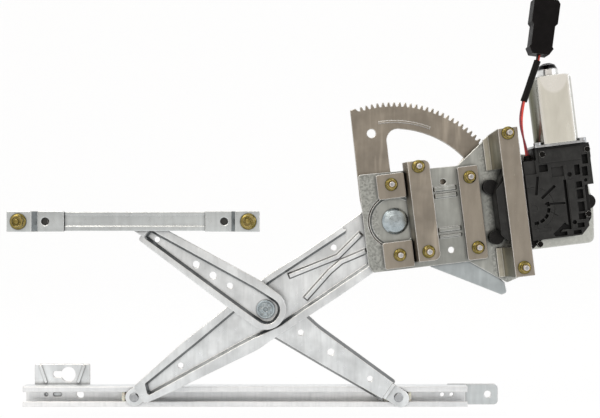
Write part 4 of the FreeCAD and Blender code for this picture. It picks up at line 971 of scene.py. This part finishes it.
class REGULATOR_OT_stage(bpy.types.Operator):
    """Pale floor and backdrop, soft studio lights, camera at the photograph's angle"""
    bl_idname = "regulator.stage"
    bl_label = "Stage"

    def execute(self, context):
        self.camera()
        self.floor()
        self.lights()
        self.world()
        context.scene.view_settings.view_transform = "Standard"
        return {"FINISHED"}

    def camera(self):
        data = bpy.data.cameras.new("camera")
        data.sensor_width, data.lens = 36.0, 36.0 / 0.660
        made = bpy.data.objects.new("camera", data)
        made.location = (-0.1011, -1.0, -0.0271)
        made.rotation_euler = (math.pi / 2, 0, 0)
        bpy.context.scene.collection.objects.link(made)
        bpy.context.scene.camera = made

    def floor(self):
        """A floor that curves up into the backdrop a long way behind, clear of the rail's lowest travel."""
        travel, steps, stride = 0.0165, 12, 0.13
        ground = CAD_BOX[0].z - travel
        deselect()
        bpy.ops.mesh.primitive_plane_add(size=1, location=(-0.1, -0.5, ground))
        made = bpy.context.object
        made.name = "floor"
        made.scale = (9, 5, 1)
        bpy.ops.object.transform_apply(location=True, rotation=True, scale=True)
        bpy.ops.object.mode_set(mode="EDIT")
        bpy.ops.mesh.select_mode(type="EDGE")
        bpy.ops.mesh.select_all(action="DESELECT")
        mesh = bmesh.from_edit_mesh(made.data)
        for e in mesh.edges:
            e.select = all(v.co.y > 1.9 for v in e.verts)
        mesh.select_flush_mode()
        bmesh.update_edit_mesh(made.data)
        for number in range(steps):
            a = math.pi / 2 * (number + 0.5) / steps
            bpy.ops.mesh.extrude_region_move(TRANSFORM_OT_translate={
                "value": (0, stride * math.cos(a), stride * math.sin(a))})
        bpy.ops.mesh.extrude_region_move(TRANSFORM_OT_translate={"value": (0, 0, 4)})
        bpy.ops.object.mode_set(mode="OBJECT")
        bpy.ops.object.shade_smooth()
        paint, tree, shader, _ = blank("Matt white studio paper")
        shader.inputs["Base Color"].default_value = linear("#f8f7f6")
        shader.inputs["Roughness"].default_value = 0.9
        shader.inputs["Specular IOR Level"].default_value = 0.1
        glow = add(tree, "ShaderNodeEmission", {"Color": (1, 1, 1, 1), "Strength": 1.0})
        path = add(tree, "ShaderNodeLightPath")
        seen = path.outputs["Is Camera Ray"]
        for ray in ("Is Glossy Ray", "Is Transmission Ray"):
            seen = add(tree, "ShaderNodeMath", {0: seen, 1: path.outputs[ray]}, operation="MAXIMUM").outputs[0]
        share = add(tree, "ShaderNodeMath", {0: seen, 1: 0.92}, operation="MULTIPLY").outputs[0]
        both = add(tree, "ShaderNodeMixShader", {0: share, 1: shader.outputs[0], 2: glow.outputs[0]})
        out = [n for n in tree.nodes if n.type == "OUTPUT_MATERIAL"][0]
        tree.links.new(both.outputs[0], out.inputs["Surface"])
        made.data.materials.append(paint)

    def lights(self):
        """Soft boxes: a key above on the left, a weaker one on the right, and a strip from above."""
        for name, spot, size, power, tone in (("key", (-1.1, -1.3, 1.3), 1.1, 15, "#fffaf3"),
                                              ("side", (1.5, -0.9, 0.5), 0.9, 5, "#f4f7ff"),
                                              ("top", (0.1, 0.1, 1.7), 1.2, 7, "#ffffff")):
            data = bpy.data.lights.new(name, "AREA")
            data.shape, data.size, data.energy, data.color = "SQUARE", size, power, linear(tone)[:3]
            made = bpy.data.objects.new(name, data)
            made.location = spot
            aim = Vector((-0.1, 0, -0.1)) - Vector(spot)
            made.rotation_euler = aim.to_track_quat("-Z", "Y").to_euler()
            bpy.context.scene.collection.objects.link(made)

    def world(self):
        """White all round, with the room behind the viewer darker and warmer, which the flat sheet reflects."""
        made = bpy.data.worlds.new("studio")
        made.use_nodes = True
        tree = made.node_tree
        tree.nodes.clear()
        way = add(tree, "ShaderNodeSeparateXYZ", {"Vector": add(tree, "ShaderNodeTexCoord").outputs["Generated"]})
        room = lay(tree, linear("#f0f0f0"), linear("#e6e0da"), way.outputs["Y"], -0.30, -0.95)
        sky = add(tree, "ShaderNodeBackground", {"Color": room, "Strength": 1.0})
        add(tree, "ShaderNodeOutputWorld", {"Surface": sky.outputs[0]})
        bpy.context.scene.world = made


class REGULATOR_PT_panel(bpy.types.Panel):
    """Sizes, colours and steps of the regulator"""
    bl_idname = "REGULATOR_PT_panel"
    bl_label = "Window regulator"
    bl_space_type = "VIEW_3D"
    bl_region_type = "UI"
    bl_category = "Regulator"

    def draw(self, context):
        for group in (context.scene.regulator_sizes, context.scene.regulator_colours):
            area = self.layout.box()
            for name in group.__annotations__:
                area.prop(group, name)
        for step in STEPS:
            self.layout.operator(step.bl_idname)


STEPS = (REGULATOR_OT_stage, REGULATOR_OT_lead, REGULATOR_OT_connector, REGULATOR_OT_sheet, REGULATOR_OT_pivots,
         REGULATOR_OT_centre, REGULATOR_OT_nuts, REGULATOR_OT_guide_bolts, REGULATOR_OT_cover, REGULATOR_OT_gearbox,
         REGULATOR_OT_motor)
CLASSES = (RegulatorSizes, RegulatorColours) + STEPS + (REGULATOR_PT_panel,)


def register():
    for made in CLASSES:
        bpy.utils.register_class(made)
    bpy.types.Scene.regulator_sizes = PointerProperty(type=RegulatorSizes)
    bpy.types.Scene.regulator_colours = PointerProperty(type=RegulatorColours)


def unregister():
    del bpy.types.Scene.regulator_sizes
    del bpy.types.Scene.regulator_colours
    for made in reversed(CLASSES):
        bpy.utils.unregister_class(made)


def main():
    register()
    bpy.ops.regulator.stage()
    bpy.ops.regulator.lead()
    bpy.ops.regulator.connector()
    bpy.ops.regulator.sheet()
    bpy.ops.regulator.pivots()
    bpy.ops.regulator.centre()
    bpy.ops.regulator.nuts()
    bpy.ops.regulator.guide_bolts()
    bpy.ops.regulator.cover()
    bpy.ops.regulator.gearbox()
    bpy.ops.regulator.motor()


if __name__ == "__main__":
    main()
